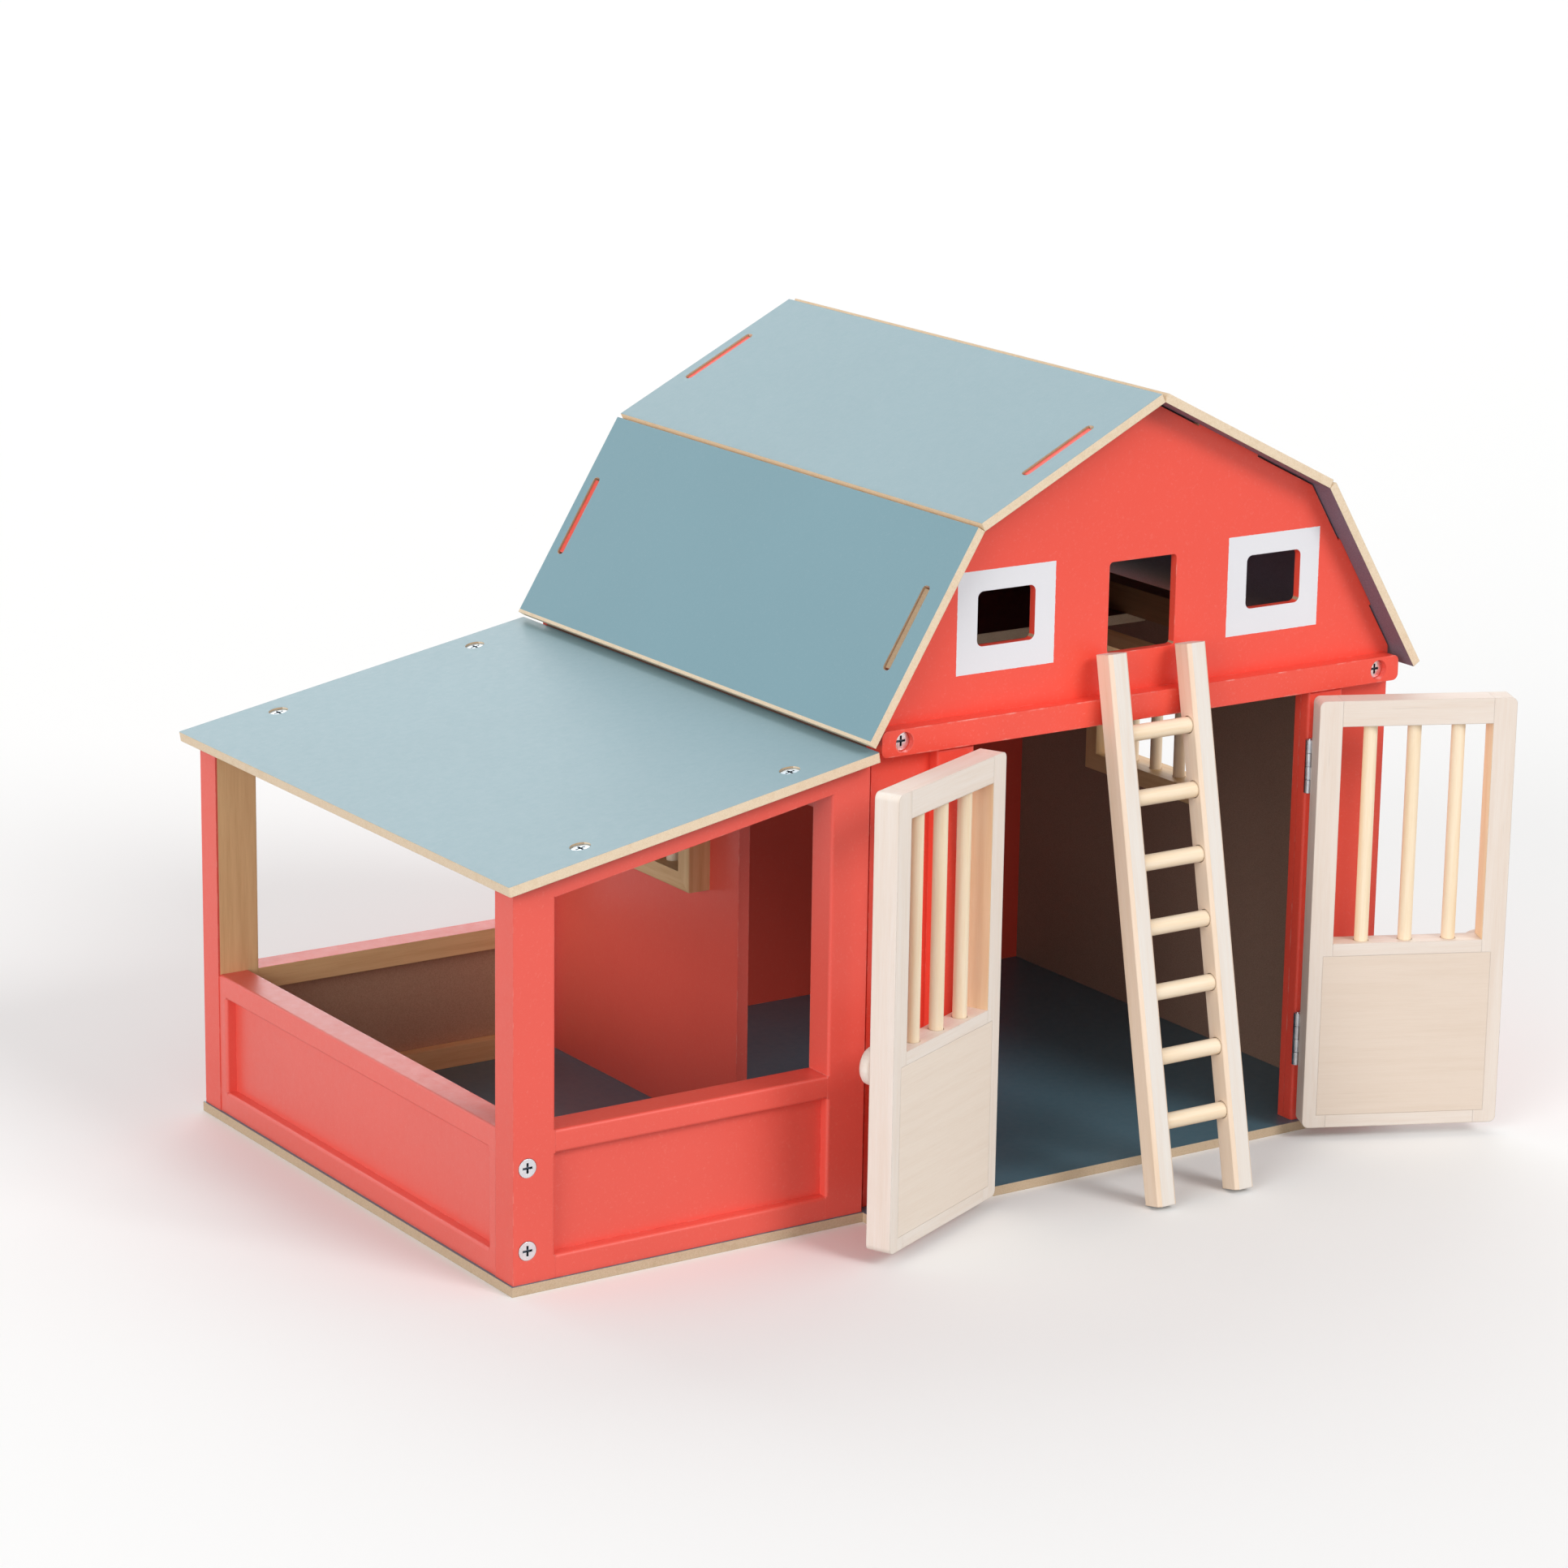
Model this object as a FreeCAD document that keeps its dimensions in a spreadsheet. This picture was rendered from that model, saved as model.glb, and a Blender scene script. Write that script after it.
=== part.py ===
"""Wooden toy barn: gambrel roof, two barred doors on butt hinges, an open lean-to and a loose ladder.

Millimetres. X runs right along the front, Y to the back, Z up. The origin is the centre of the barn's
walls on the underside of its base board.
"""
import FreeCAD, Part
import os
import re
import Sketcher

SIZES = [
    ("barn_width", 294, "over the side walls"),
    ("barn_depth", 281, "over the front and back sheets"),
    ("base_thick", 4.5, "base boards of barn and lean-to"),
    ("base_side_lap", 4, "barn base beyond each side wall"),
    ("base_front_lap", 9, "barn base beyond the front sheet"),
    ("base_back_lap", 2, "barn base beyond the back sheet"),
    ("sheet_thick", 4, "front and back sheets"),
    ("wall_thick", 6, "side walls"),
    ("wall_top", 222, "top of the side walls"),
    ("rail_width", 12, "loft rails along the side walls"),
    ("rail_height", 14, "loft rails"),
    ("rail_rise", 3, "loft rails above the side walls"),
    ("loft_thick", 5, "loft floor under the rails"),
    ("loft_depth", 100, "loft floor from the back sheet forward"),
    ("eave_lap", 6.1, "roof's underside beyond the side walls"),
    ("eave_drop", 1.7, "roof's underside below the wall tops"),
    ("upper_slope", 26.5, "upper roof panels, degrees"),
    ("lower_slope", 58.4, "lower roof panels, degrees"),
    ("lower_length", 106.4, "lower roof panels down the slope"),
    ("roof_thick", 4.2, "roof panels"),
    ("roof_front_lap", 12, "roof beyond the front sheet"),
    ("roof_back_lap", 7, "roof beyond the back sheet"),
    ("gable_gap", 0.8, "gable edge below the roof's underside"),
    ("slot_length", 41.5, "roof slots along the slope"),
    ("slot_side_gap", 0.5, "roof slot to each face of a tab"),
    ("slot_corner", 2, "rounding of the slot ends"),
    ("tab_end_gap", 1.3, "tab to each end of its slot"),
    ("tab_setback", 0.8, "tab end below the roof's outer face"),
    ("lower_slot_start", 31.5, "lower slots from the roof's knuckle"),
    ("upper_slot_start", 36, "upper slots from the roof's knuckle"),
    ("opening_half", 95.5, "doorway from the middle to each post"),
    ("pane_inset", 55.5, "gable windows from the walls' outer faces"),
    ("pane_width", 31.5, "gable windows"),
    ("pane_rise", 34, "gable windows above the wall tops"),
    ("pane_height", 25, "gable windows"),
    ("pane_corner", 3, "rounding of the gable windows"),
    ("hatch_width", 38, "loft doorway"),
    ("hatch_rise", 22.2, "loft doorway above the wall tops"),
    ("hatch_height", 42.2, "loft doorway"),
    ("hatch_corner", 2, "rounding of the loft doorway"),
    ("beam_drop", 8, "underside of the front beam below the wall tops"),
    ("beam_height", 12, "front beam"),
    ("beam_proud", 8, "front beam before the front sheet"),
    ("beam_corner", 3, "rounding of the beam ends"),
    ("post_width", 20, "door posts"),
    ("post_proud", 6, "door posts before the front sheet"),
    ("post_head_gap", 0.4, "door posts below the beam"),
    ("post_round", 1.5, "rounding of the door posts"),
    ("passage_start", 25, "side doorway from the front sheet's face"),
    ("passage_width", 80, "side doorway"),
    ("passage_head", 42, "wall over the side doorway"),
    ("frame_start", 129.5, "side windows from the front sheet's face"),
    ("frame_width", 93, "side windows over the frame"),
    ("frame_drop", 26.3, "side windows below the wall tops"),
    ("frame_height", 75.4, "side windows over the frame"),
    ("frame_member", 8.6, "side window frame members"),
    ("frame_proud", 12, "side window frames beyond the wall"),
    ("frame_round", 1, "rounding of the frame's outer edges"),
    ("window_bar_radius", 3, "side window bars"),
    ("bar_seat", 4.5, "bars let into their rails"),
    ("bar_gap", 0.3, "bars to the holes they sit in"),
    ("door_thick", 12, "door frames"),
    ("door_floor_gap", 1.5, "doors above the base board"),
    ("door_head_gap", 0.8, "doors below the beam"),
    ("hinge_gap", 1, "doors to their posts"),
    ("meeting_gap", 1, "between the closed doors"),
    ("door_stile", 11, "door stiles"),
    ("door_top_rail", 12.2, "door top rails"),
    ("door_mid_rail", 6.1, "door middle rails above the panel"),
    ("door_foot", 6.1, "door bottom rails below the panel"),
    ("door_corner", 3, "rounding of the door corners"),
    ("door_panel_height", 78.1, "door panels"),
    ("door_panel_thick", 3, "door panels"),
    ("rabbet", 4.5, "door panels over stiles and rails"),
    ("door_bar_radius", 3.25, "door bars"),
    ("door_bar_pitch", 21, "door bars, middle to middle"),
    ("knob_edge", 9, "middle of the knobs from the doors' free edges"),
    ("knob_rise", 82, "middle of the knobs above the door bottoms"),
    ("knob_radius", 8.75, "knobs"),
    ("knob_proud", 6.5, "knobs"),
    ("knob_round", 2.8, "rounding of the knobs"),
    ("left_door_angle", 155, "left door from closed, degrees"),
    ("right_door_angle", 155, "right door from closed, degrees"),
    ("upper_hinge_drop", 34.2, "middle of the upper hinges below the door tops"),
    ("lower_hinge_rise", 40, "middle of the lower hinges above the door bottoms"),
    ("hinge_height", 25.4, "hinges"),
    ("barrel_radius", 2, "hinge barrels"),
    ("barrel_gap", 0.3, "hinge barrels to the wood"),
    ("leaf_width", 9.5, "hinge leaves from the axis"),
    ("leaf_thick", 0.9, "hinge leaves"),
    ("leaf_gap", 0.35, "hinge leaf to the other leaf's knuckles"),
    ("knuckle_gap", 0.2, "between knuckles"),
    ("pin_radius", 0.9, "hinge pins"),
    ("pin_gap", 0.05, "hinge pins to the knuckles' bores"),
    ("pin_end", 0.4, "hinge pins beyond the barrels"),
    ("ladder_reach", 54, "ladder foot from the front sheet's face"),
    ("ladder_shift", -2, "middle of the ladder"),
    ("ladder_over", 20.4, "ladder beyond the beam it leans on"),
    ("ladder_width", 55, "over the ladder stiles"),
    ("ladder_stile", 10.5, "ladder stiles across"),
    ("ladder_deep", 12, "ladder stiles front to back"),
    ("ladder_rest_gap", 0.3, "ladder to the beam's edge"),
    ("ladder_chamfer", 1.6, "ladder stile edges"),
    ("rung_radius", 3.75, "rungs"),
    ("rung_first", 37, "first rung from the foot"),
    ("rung_pitch", 29.5, "rungs"),
    ("rung_end", 20, "ladder top beyond the last rung, at least"),
    ("rung_seat", 7, "rungs let into the stiles"),
    ("lean_width", 180.5, "lean-to walls"),
    ("lean_base_lap", 1, "lean-to base beyond its walls"),
    ("lean_front_lap", 5, "lean-to front wall before the front sheet"),
    ("lean_back_lap", 2, "lean-to back wall behind the back sheet"),
    ("lean_wall", 15, "lean-to frame members front to back"),
    ("lean_eave_gap", 1.4, "lean-to roof below the barn's eave"),
    ("lean_slope", 10.25, "lean-to roof, degrees"),
    ("lean_outer_stile", 21, "lean-to frames, outer stiles"),
    ("lean_inner_stile", 19.5, "lean-to frames, stiles beside the barn"),
    ("lean_rail", 10.5, "lean-to rails"),
    ("sill_top", 71.5, "lean-to sills and low side wall"),
    ("lean_panel_thick", 4, "lean-to panels"),
    ("lean_panel_inset", 6, "lean-to panels from the inner faces"),
    ("lean_round", 1.5, "rounding of the lean-to's framed edges"),
    ("side_inset", 0.4, "low side wall behind the frames' ends"),
    ("side_stile", 6.5, "low side wall end stiles"),
    ("lean_eave_lap", 6, "lean-to roof beyond its outer walls"),
    ("lean_roof_thick", 4.5, "lean-to roof"),
    ("lean_roof_front", 8.3, "lean-to roof before its front wall"),
    ("lean_roof_back", 8.4, "lean-to roof behind its back wall"),
    ("lean_roof_corner", 0.8, "rounding of the lean-to roof corners"),
    ("screw_head", 4.3, "screw head radius"),
    ("screw_cone", 2.4, "screw head height"),
    ("screw_shank", 1.6, "screw shank radius"),
    ("screw_gap", 0.3, "screws to their holes"),
    ("screw_end_gap", 1, "screw holes beyond the screw tips"),
    ("cross_length", 4.8, "cross recess in the screw heads"),
    ("cross_width", 1.1, "cross recess in the screw heads"),
    ("cross_deep", 1.2, "cross recess in the screw heads"),
    ("beam_screw_sink", 3, "beam screw heads below the beam's face"),
    ("beam_screw_length", 20, "beam screw shanks"),
    ("corner_screw_cover", 1.6, "wood beyond the corner screws' tips"),
    ("roof_screw_sink", 0.8, "roof screw heads below the lean-to roof's face"),
    ("roof_screw_length", 10, "lean-to roof screw shanks"),
    ("corner_screw_in", 7.2, "corner screws from the frames' outer edge"),
    ("corner_screw_edge", 4.3, "corner screws from the low wall's rails"),
    ("roof_screw_in", 17, "roof screws from the frames' stiles"),
]

DOC = FreeCAD.newDocument("ToyBarn")
SHEET = DOC.addObject("Spreadsheet::Sheet", "Sizes")
for row, (alias, size, meaning) in enumerate(SIZES, start=1):
    SHEET.set(f"A{row}", alias)
    SHEET.set(f"B{row}", str(size))
    SHEET.set(f"C{row}", meaning)
    SHEET.setAlias(f"B{row}", alias)
DOC.recompute()

NAMES = {alias for alias, _, _ in SIZES}
NODES = []

HALF = "barn_width / 2"
FRONT = "-barn_depth / 2"
BACK = "barn_depth / 2"
BEAM_BOTTOM = "(wall_top - beam_drop)"
BEAM_TOP = f"({BEAM_BOTTOM} + beam_height)"
RAIL_TOP = "(wall_top + rail_rise)"
RAIL_BOTTOM = f"({RAIL_TOP} - rail_height)"
EAVE_Z = "(wall_top - eave_drop)"
KNUCKLE_X = f"({HALF} + eave_lap - lower_length * cos(lower_slope))"
KNUCKLE_Z = f"({EAVE_Z} + lower_length * sin(lower_slope))"
UPPER_LENGTH = f"({KNUCKLE_X} / cos(upper_slope))"
RIDGE_Z = f"({KNUCKLE_Z} + {KNUCKLE_X} * tan(upper_slope))"
BARREL_STAND = "(barrel_radius + barrel_gap)"
PLANE_AXES = {"XY": (0, 1), "XZ": (0, 2), "YZ": (1, 2)}
RIGHT = (0, 1, 0)
LEFT = (0, -1, 0)


def ref(text):
    """Turns each size name in a formula into its cell of the sheet."""
    return re.sub(r"[a-z_]+", lambda word: f"Sizes.{word[0]}" if word[0] in NAMES else word[0], text)


def value(text):
    """The present number of a formula."""
    return float(SHEET.evalExpression(ref(text)))


def node(thing, name):
    """Marks a finished piece as one of the barn's named parts."""
    thing.Label = name
    NODES.append(thing)
    return thing


def set_down(thing, x="0", y="0", z="0", axis=None, angle="0"):
    """Places a piece, turned by a positive angle about an axis through its own origin."""
    if axis:
        turn = FreeCAD.Rotation(FreeCAD.Vector(*axis), value(angle))
        thing.Placement = FreeCAD.Placement(FreeCAD.Vector(), turn)
        thing.setExpression(".Placement.Rotation.Angle", ref(angle))
    for letter, text in zip("xyz", (x, y, z)):
        thing.setExpression(f".Placement.Base.{letter}", ref(text))
    return thing


def block(name, across, deep, high):
    """A square-cut block between three pairs of limits."""
    thing = DOC.addObject("Part::Box", name)
    for side, (low, top) in zip(("Length", "Width", "Height"), (across, deep, high)):
        thing.setExpression(side, ref(f"({top}) - ({low})"))
    return set_down(thing, across[0], deep[0], high[0])


def rod(name, radius, length, x="0", y="0", z="0", axis=None, angle="0"):
    """A round rod that starts at a point and runs along its own Z."""
    thing = DOC.addObject("Part::Cylinder", name)
    thing.setExpression("Radius", ref(radius))
    thing.setExpression("Height", ref(length))
    return set_down(thing, x, y, z, axis, angle)


def joined(name, pieces):
    """Pieces that make one solid."""
    thing = DOC.addObject("Part::MultiFuse", name)
    thing.Shapes = pieces
    thing.Refine = True
    return thing


def group(name, pieces):
    """Separate solids that are kept together."""
    thing = DOC.addObject("Part::Compound", name)
    thing.Links = pieces
    return thing


def less(name, base, tools):
    """A piece with other shapes cut out of it."""
    thing = DOC.addObject("Part::Cut", name)
    thing.Base = base
    thing.Tool = tools[0] if len(tools) == 1 else group(f"{name}_tools", tools)
    return thing


def rect(left, right, bottom, top):
    """Corners of an upright rectangle."""
    return [(left, bottom), (right, bottom), (right, top), (left, top)]


def origin_item(body, role):
    """One of a body's own origin planes or axes."""
    return next(item for item in body.Origin.OriginFeatures if item.Role == role)


def drawing_on(body, name, plane, lift):
    """An empty sketch on an origin plane of the body, lifted along the plane's normal."""
    drawing = body.newObject("Sketcher::SketchObject", name)
    drawing.AttachmentSupport = [(origin_item(body, f"{plane}_Plane"), "")]
    drawing.MapMode = "FlatFace"
    drawing.setExpression(".AttachmentOffset.Base.z", ref(lift))
    return drawing


def hold(drawing, line, end, across, up):
    """Ties one point of a sketch to the formulas of its two coordinates."""
    for letter, text in (("X", across), ("Y", up)):
        tie = Sketcher.Constraint(f"Distance{letter}", -1, 1, line, end, value(text))
        drawing.setExpression(f"Constraints[{drawing.addConstraint(tie)}]", ref(text))


def draw_loop(drawing, corners):
    """Adds a closed outline with every corner held by its formulas."""
    first = drawing.GeometryCount
    spots = [FreeCAD.Vector(value(across), value(up), 0) for across, up in corners]
    for start, end in zip(spots, spots[1:] + spots[:1]):
        drawing.addGeometry(Part.LineSegment(start, end))
    for step, (across, up) in enumerate(corners):
        follower = first + (step + 1) % len(corners)
        drawing.addConstraint(Sketcher.Constraint("Coincident", first + step, 2, follower, 1))
        hold(drawing, first + step, 1, across, up)


def board(name, plane, low, high, outline, holes=()):
    """A flat board, drawn on a plane and padded from low to high across it."""
    body = DOC.addObject("PartDesign::Body", name)
    drawing = drawing_on(body, f"{name}_outline", plane, f"-({high})" if plane == "XZ" else low)
    for corners in [outline, *holes]:
        draw_loop(drawing, corners)
    pad = body.newObject("PartDesign::Pad", f"{name}_pad")
    pad.Profile = drawing
    pad.setExpression("Length", ref(f"({high}) - ({low})"))
    DOC.recompute()
    return body


def ease(body, size, wanted, kind="Fillet"):
    """Rounds or chamfers the edges of a body that the test picks."""
    tip = body.Tip
    picked = [f"Edge{place}" for place, edge in enumerate(tip.Shape.Edges, start=1) if wanted(edge)]
    dressed = body.newObject(f"PartDesign::{kind}", f"{body.Name}_{kind.lower()}")
    dressed.Base = (tip, picked)
    dressed.setExpression("Radius" if kind == "Fillet" else "Size", ref(size))
    DOC.recompute()
    return body


def same(first, second):
    return abs(first - second) < 1e-4


def at_corners(plane, corners):
    """Picks the edges that run across a board at some corners of its outline."""
    one, two = PLANE_AXES[plane]
    spots = [(value(across), value(up)) for across, up in corners]

    def wanted(edge):
        ends = [vertex.Point for vertex in edge.Vertexes]
        return any(all(same(end[one], a) and same(end[two], b) for end in ends) for a, b in spots)

    return wanted


def at_line(*limits):
    """Picks the edges that keep to the given coordinates, as pairs of axis number and formula."""
    held = [(axis, value(text)) for axis, text in limits]

    def wanted(edge):
        return all(same(vertex.Point[axis], at) for vertex in edge.Vertexes for axis, at in held)

    return wanted


def any_of(*tests):
    """Picks what any of the tests picks."""
    return lambda edge: any(test(edge) for test in tests)


def mirrored(corners):
    """The same corners on the other side of the middle, in the opposite order."""
    return [(f"-({across})", up) for across, up in reversed(corners)]


def screw(name, sink, length, **spot):
    """A cross-head screw and the hole it sits in, both running down from a surface point."""
    head = DOC.addObject("Part::Cone", f"{name}_head")
    bed = DOC.addObject("Part::Cone", f"{name}_bed")
    for cone, gap in ((head, "0"), (bed, "screw_gap")):
        cone.setExpression("Radius1", ref(f"screw_shank + {gap}"))
        cone.setExpression("Radius2", ref(f"screw_head + {gap}"))
        cone.setExpression("Height", ref("screw_cone"))
        set_down(cone, z=f"-({sink}) - screw_cone")
    tip = f"-({sink}) - screw_cone - {length}"
    shank = rod(f"{name}_shank", "screw_shank", length, z=tip)
    deeper = f"{tip} - screw_end_gap"
    pilot = rod(f"{name}_pilot", "screw_shank + screw_gap", f"{length} + screw_end_gap", z=deeper)
    mouth = rod(f"{name}_mouth", "screw_head + screw_gap", f"{sink} + screw_end_gap", z=f"-({sink})")
    reach = ("-cross_length / 2", "cross_length / 2")
    narrow = ("-cross_width / 2", "cross_width / 2")
    slit = (f"-({sink}) - cross_deep", f"-({sink}) + cross_deep")
    recess = [block(f"{name}_slit", reach, narrow, slit), block(f"{name}_cross", narrow, reach, slit)]
    solid = less(f"{name}_solid", joined(f"{name}_blank", [head, shank]), recess)
    hole = joined(f"{name}_hole", [mouth, bed, pilot])
    return set_down(solid, **spot), set_down(hole, **spot)


def on_lower(along, out):
    """A point of the right gable from the roof's knuckle down the lower slope."""
    across = f"{KNUCKLE_X} + ({along}) * cos(lower_slope) + ({out}) * sin(lower_slope)"
    return across, f"{KNUCKLE_Z} - ({along}) * sin(lower_slope) + ({out}) * cos(lower_slope)"


def on_upper(along, out):
    """A point of the right gable from the roof's knuckle up the upper slope."""
    across = f"{KNUCKLE_X} - ({along}) * cos(upper_slope) + ({out}) * sin(upper_slope)"
    return across, f"{KNUCKLE_Z} + ({along}) * sin(upper_slope) + ({out}) * cos(upper_slope)"


def tab(spot, start):
    """Corners of a roof tab that stands out of a gable edge, from its start to its end."""
    first = f"{start} + tab_end_gap"
    last = f"{start} + slot_length - tab_end_gap"
    top = "roof_thick - tab_setback"
    return [spot(first, "-gable_gap"), spot(first, top), spot(last, top), spot(last, "-gable_gap")]


def gable_edge():
    """The right gable edge from shoulder to ridge, with its two tabs."""
    run = f"({HALF} - {KNUCKLE_X} + gable_gap * sin(lower_slope))"
    shoulder = f"{KNUCKLE_Z} - tan(lower_slope) * {run} - gable_gap * cos(lower_slope)"
    share = "gable_gap / (1 + cos(lower_slope - upper_slope))"
    bend = (
        f"{KNUCKLE_X} - {share} * (sin(upper_slope) + sin(lower_slope))",
        f"{KNUCKLE_Z} - {share} * (cos(upper_slope) + cos(lower_slope))",
    )
    lower = list(reversed(tab(on_lower, "lower_slot_start")))
    return [(HALF, shoulder), *lower, bend, *tab(on_upper, "upper_slot_start")]


def gable_sheet(name, low, high, foot, holes=()):
    """A front or back sheet up to the roof, above the given corners of its foot."""
    edge = gable_edge()
    apex = ("0", f"{RIDGE_Z} - gable_gap / cos(upper_slope)")
    return board(name, "XZ", low, high, [*foot, *edge, apex, *mirrored(edge)], holes)


def make_walls(beam_holes):
    """Base board, front and back sheets, side walls, loft rails and loft floor."""
    base_x = f"{HALF} + base_side_lap"
    base = rect(f"-({base_x})", base_x, f"{FRONT} - base_front_lap", f"{BACK} + base_back_lap")
    node(board("barn_base", "XY", "0", "base_thick", base), "barn_base")

    pane_x = f"({HALF} - pane_inset)"
    pane_z = "wall_top + pane_rise"
    pane = rect(f"{pane_x} - pane_width", pane_x, pane_z, f"{pane_z} + pane_height")
    hatch_z = "wall_top + hatch_rise"
    hatch = rect("-hatch_width / 2", "hatch_width / 2", hatch_z, f"{hatch_z} + hatch_height")
    holes = [pane, mirrored(pane), hatch]
    doorway = [("opening_half", BEAM_BOTTOM), ("opening_half", "base_thick"), (HALF, "base_thick")]
    front_back = f"{FRONT} + sheet_thick"
    front = gable_sheet("front_sheet", FRONT, front_back, [*mirrored(doorway), *doorway], holes)
    ease(front, "pane_corner", at_corners("XZ", pane + mirrored(pane)))
    ease(front, "hatch_corner", at_corners("XZ", hatch))
    node(less("front_wall", front, beam_holes), "front_wall")
    foot = [(f"-{HALF}", "base_thick"), (HALF, "base_thick")]
    node(gable_sheet("back_sheet", f"{BACK} - sheet_thick", BACK, foot), "back_wall")

    start, end = front_back, f"{BACK} - sheet_thick"
    inner = f"({HALF} - wall_thick)"
    frame_y = f"{FRONT} + frame_start"
    frame_top = "(wall_top - frame_drop)"
    window = rect(frame_y, f"{frame_y} + frame_width", f"{frame_top} - frame_height", frame_top)
    passage_y = f"{FRONT} + passage_start"
    passage_end = f"{passage_y} + passage_width"
    passage_top = "wall_top - passage_head"
    passage = [(passage_y, "base_thick"), (passage_y, passage_top), (passage_end, passage_top)]
    left = [(start, "base_thick"), *passage, (passage_end, "base_thick")]
    left += [(end, "base_thick"), (end, "wall_top"), (start, "wall_top")]
    node(board("left_side", "YZ", f"-{HALF}", f"-{inner}", left, [window]), "left_wall")
    right = rect(start, end, "base_thick", "wall_top")
    node(board("right_side", "YZ", inner, HALF, right, [window]), "right_wall")

    high = (RAIL_BOTTOM, RAIL_TOP)
    for name, across in (
        ("left_loft_rail", (f"-{inner}", f"-{inner} + rail_width")),
        ("right_loft_rail", (f"{inner} - rail_width", inner)),
    ):
        stick = block(f"{name}_stick", across, (start, end), high)
        node(less(name, stick, beam_holes), name)
    floor_y = (f"{end} - loft_depth", end)
    floor_z = (f"{RAIL_BOTTOM} - loft_thick", RAIL_BOTTOM)
    node(block("loft_floor", (f"-{inner}", inner), floor_y, floor_z), "loft_floor")


def make_doorway():
    """Front beam with its screws, and the two door posts. Gives back the screw holes."""
    screws, holes = [], []
    for name, side in (("left_beam_screw", "-1"), ("right_beam_screw", "1")):
        spot = {
            "x": f"{side} * ({HALF} - wall_thick - rail_width / 2)",
            "y": f"{FRONT} - beam_proud",
            "z": f"{BEAM_BOTTOM} + beam_height / 2",
            "axis": (1, 0, 0),
            "angle": "90",
        }
        solid, hole = screw(name, "beam_screw_sink", "beam_screw_length", **spot)
        screws.append(solid)
        holes.append(hole)
    node(group("beam_screws", screws), "beam_screws")

    bar = rect(f"-{HALF}", HALF, BEAM_BOTTOM, BEAM_TOP)
    beam = board("beam_stick", "XZ", f"{FRONT} - beam_proud", FRONT, bar)
    ease(beam, "beam_corner", at_corners("XZ", bar))
    node(less("front_beam", beam, holes), "front_beam")

    outer = "opening_half + post_width"
    face = f"{FRONT} - post_proud"
    top = f"{BEAM_BOTTOM} - post_head_gap"
    upright = rect("opening_half", outer, "base_thick", top)
    for name, outline, edges in (
        ("left_door_post", mirrored(upright), ("-opening_half", f"-({outer})")),
        ("right_door_post", upright, ("opening_half", outer)),
    ):
        post = board(name, "XZ", face, FRONT, outline)
        sides = [at_line((0, edge), (1, face)) for edge in edges]
        ease(post, "post_round", any_of(at_line((1, face), (2, top)), *sides))
        node(post, name)
    return holes


def make_roof():
    """Four roof panels, square-cut, with slots for the tabs of both gables."""
    sheets = [f"{FRONT} + sheet_thick / 2", f"{BACK} - sheet_thick / 2"]
    half_slot = "(sheet_thick / 2 + slot_side_gap)"
    across = [(f"{y} - {half_slot}", f"{y} + {half_slot}") for y in sheets]
    upper_slot = f"{UPPER_LENGTH} - upper_slot_start - slot_length"
    knuckle = {"x": KNUCKLE_X, "z": KNUCKLE_Z}
    for name, length, slope, slot, top in (
        ("upper_roof", UPPER_LENGTH, "upper_slope", upper_slot, {"z": RIDGE_Z}),
        ("lower_roof", "lower_length", "lower_slope", "lower_slot_start", knuckle),
    ):
        ends = (f"{FRONT} - roof_front_lap", f"{BACK} + roof_back_lap")
        plate = rect("0", length, *ends)
        slots = [rect(slot, f"{slot} + slot_length", *limits) for limits in across]
        for side, axis in (("left", LEFT), ("right", RIGHT)):
            flip = mirrored if side == "left" else list
            holes = [flip(corners) for corners in slots]
            panel = board(f"{side}_{name}", "XY", "0", "roof_thick", flip(plate), holes)
            ease(panel, "slot_corner", at_corners("XY", [corner for hole in holes for corner in hole]))
            spot = dict(top)
            if side == "left" and "x" in top:
                spot["x"] = f"-{top['x']}"
            node(set_down(panel, axis=axis, angle=slope, **spot), f"{side}_{name}")


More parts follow.
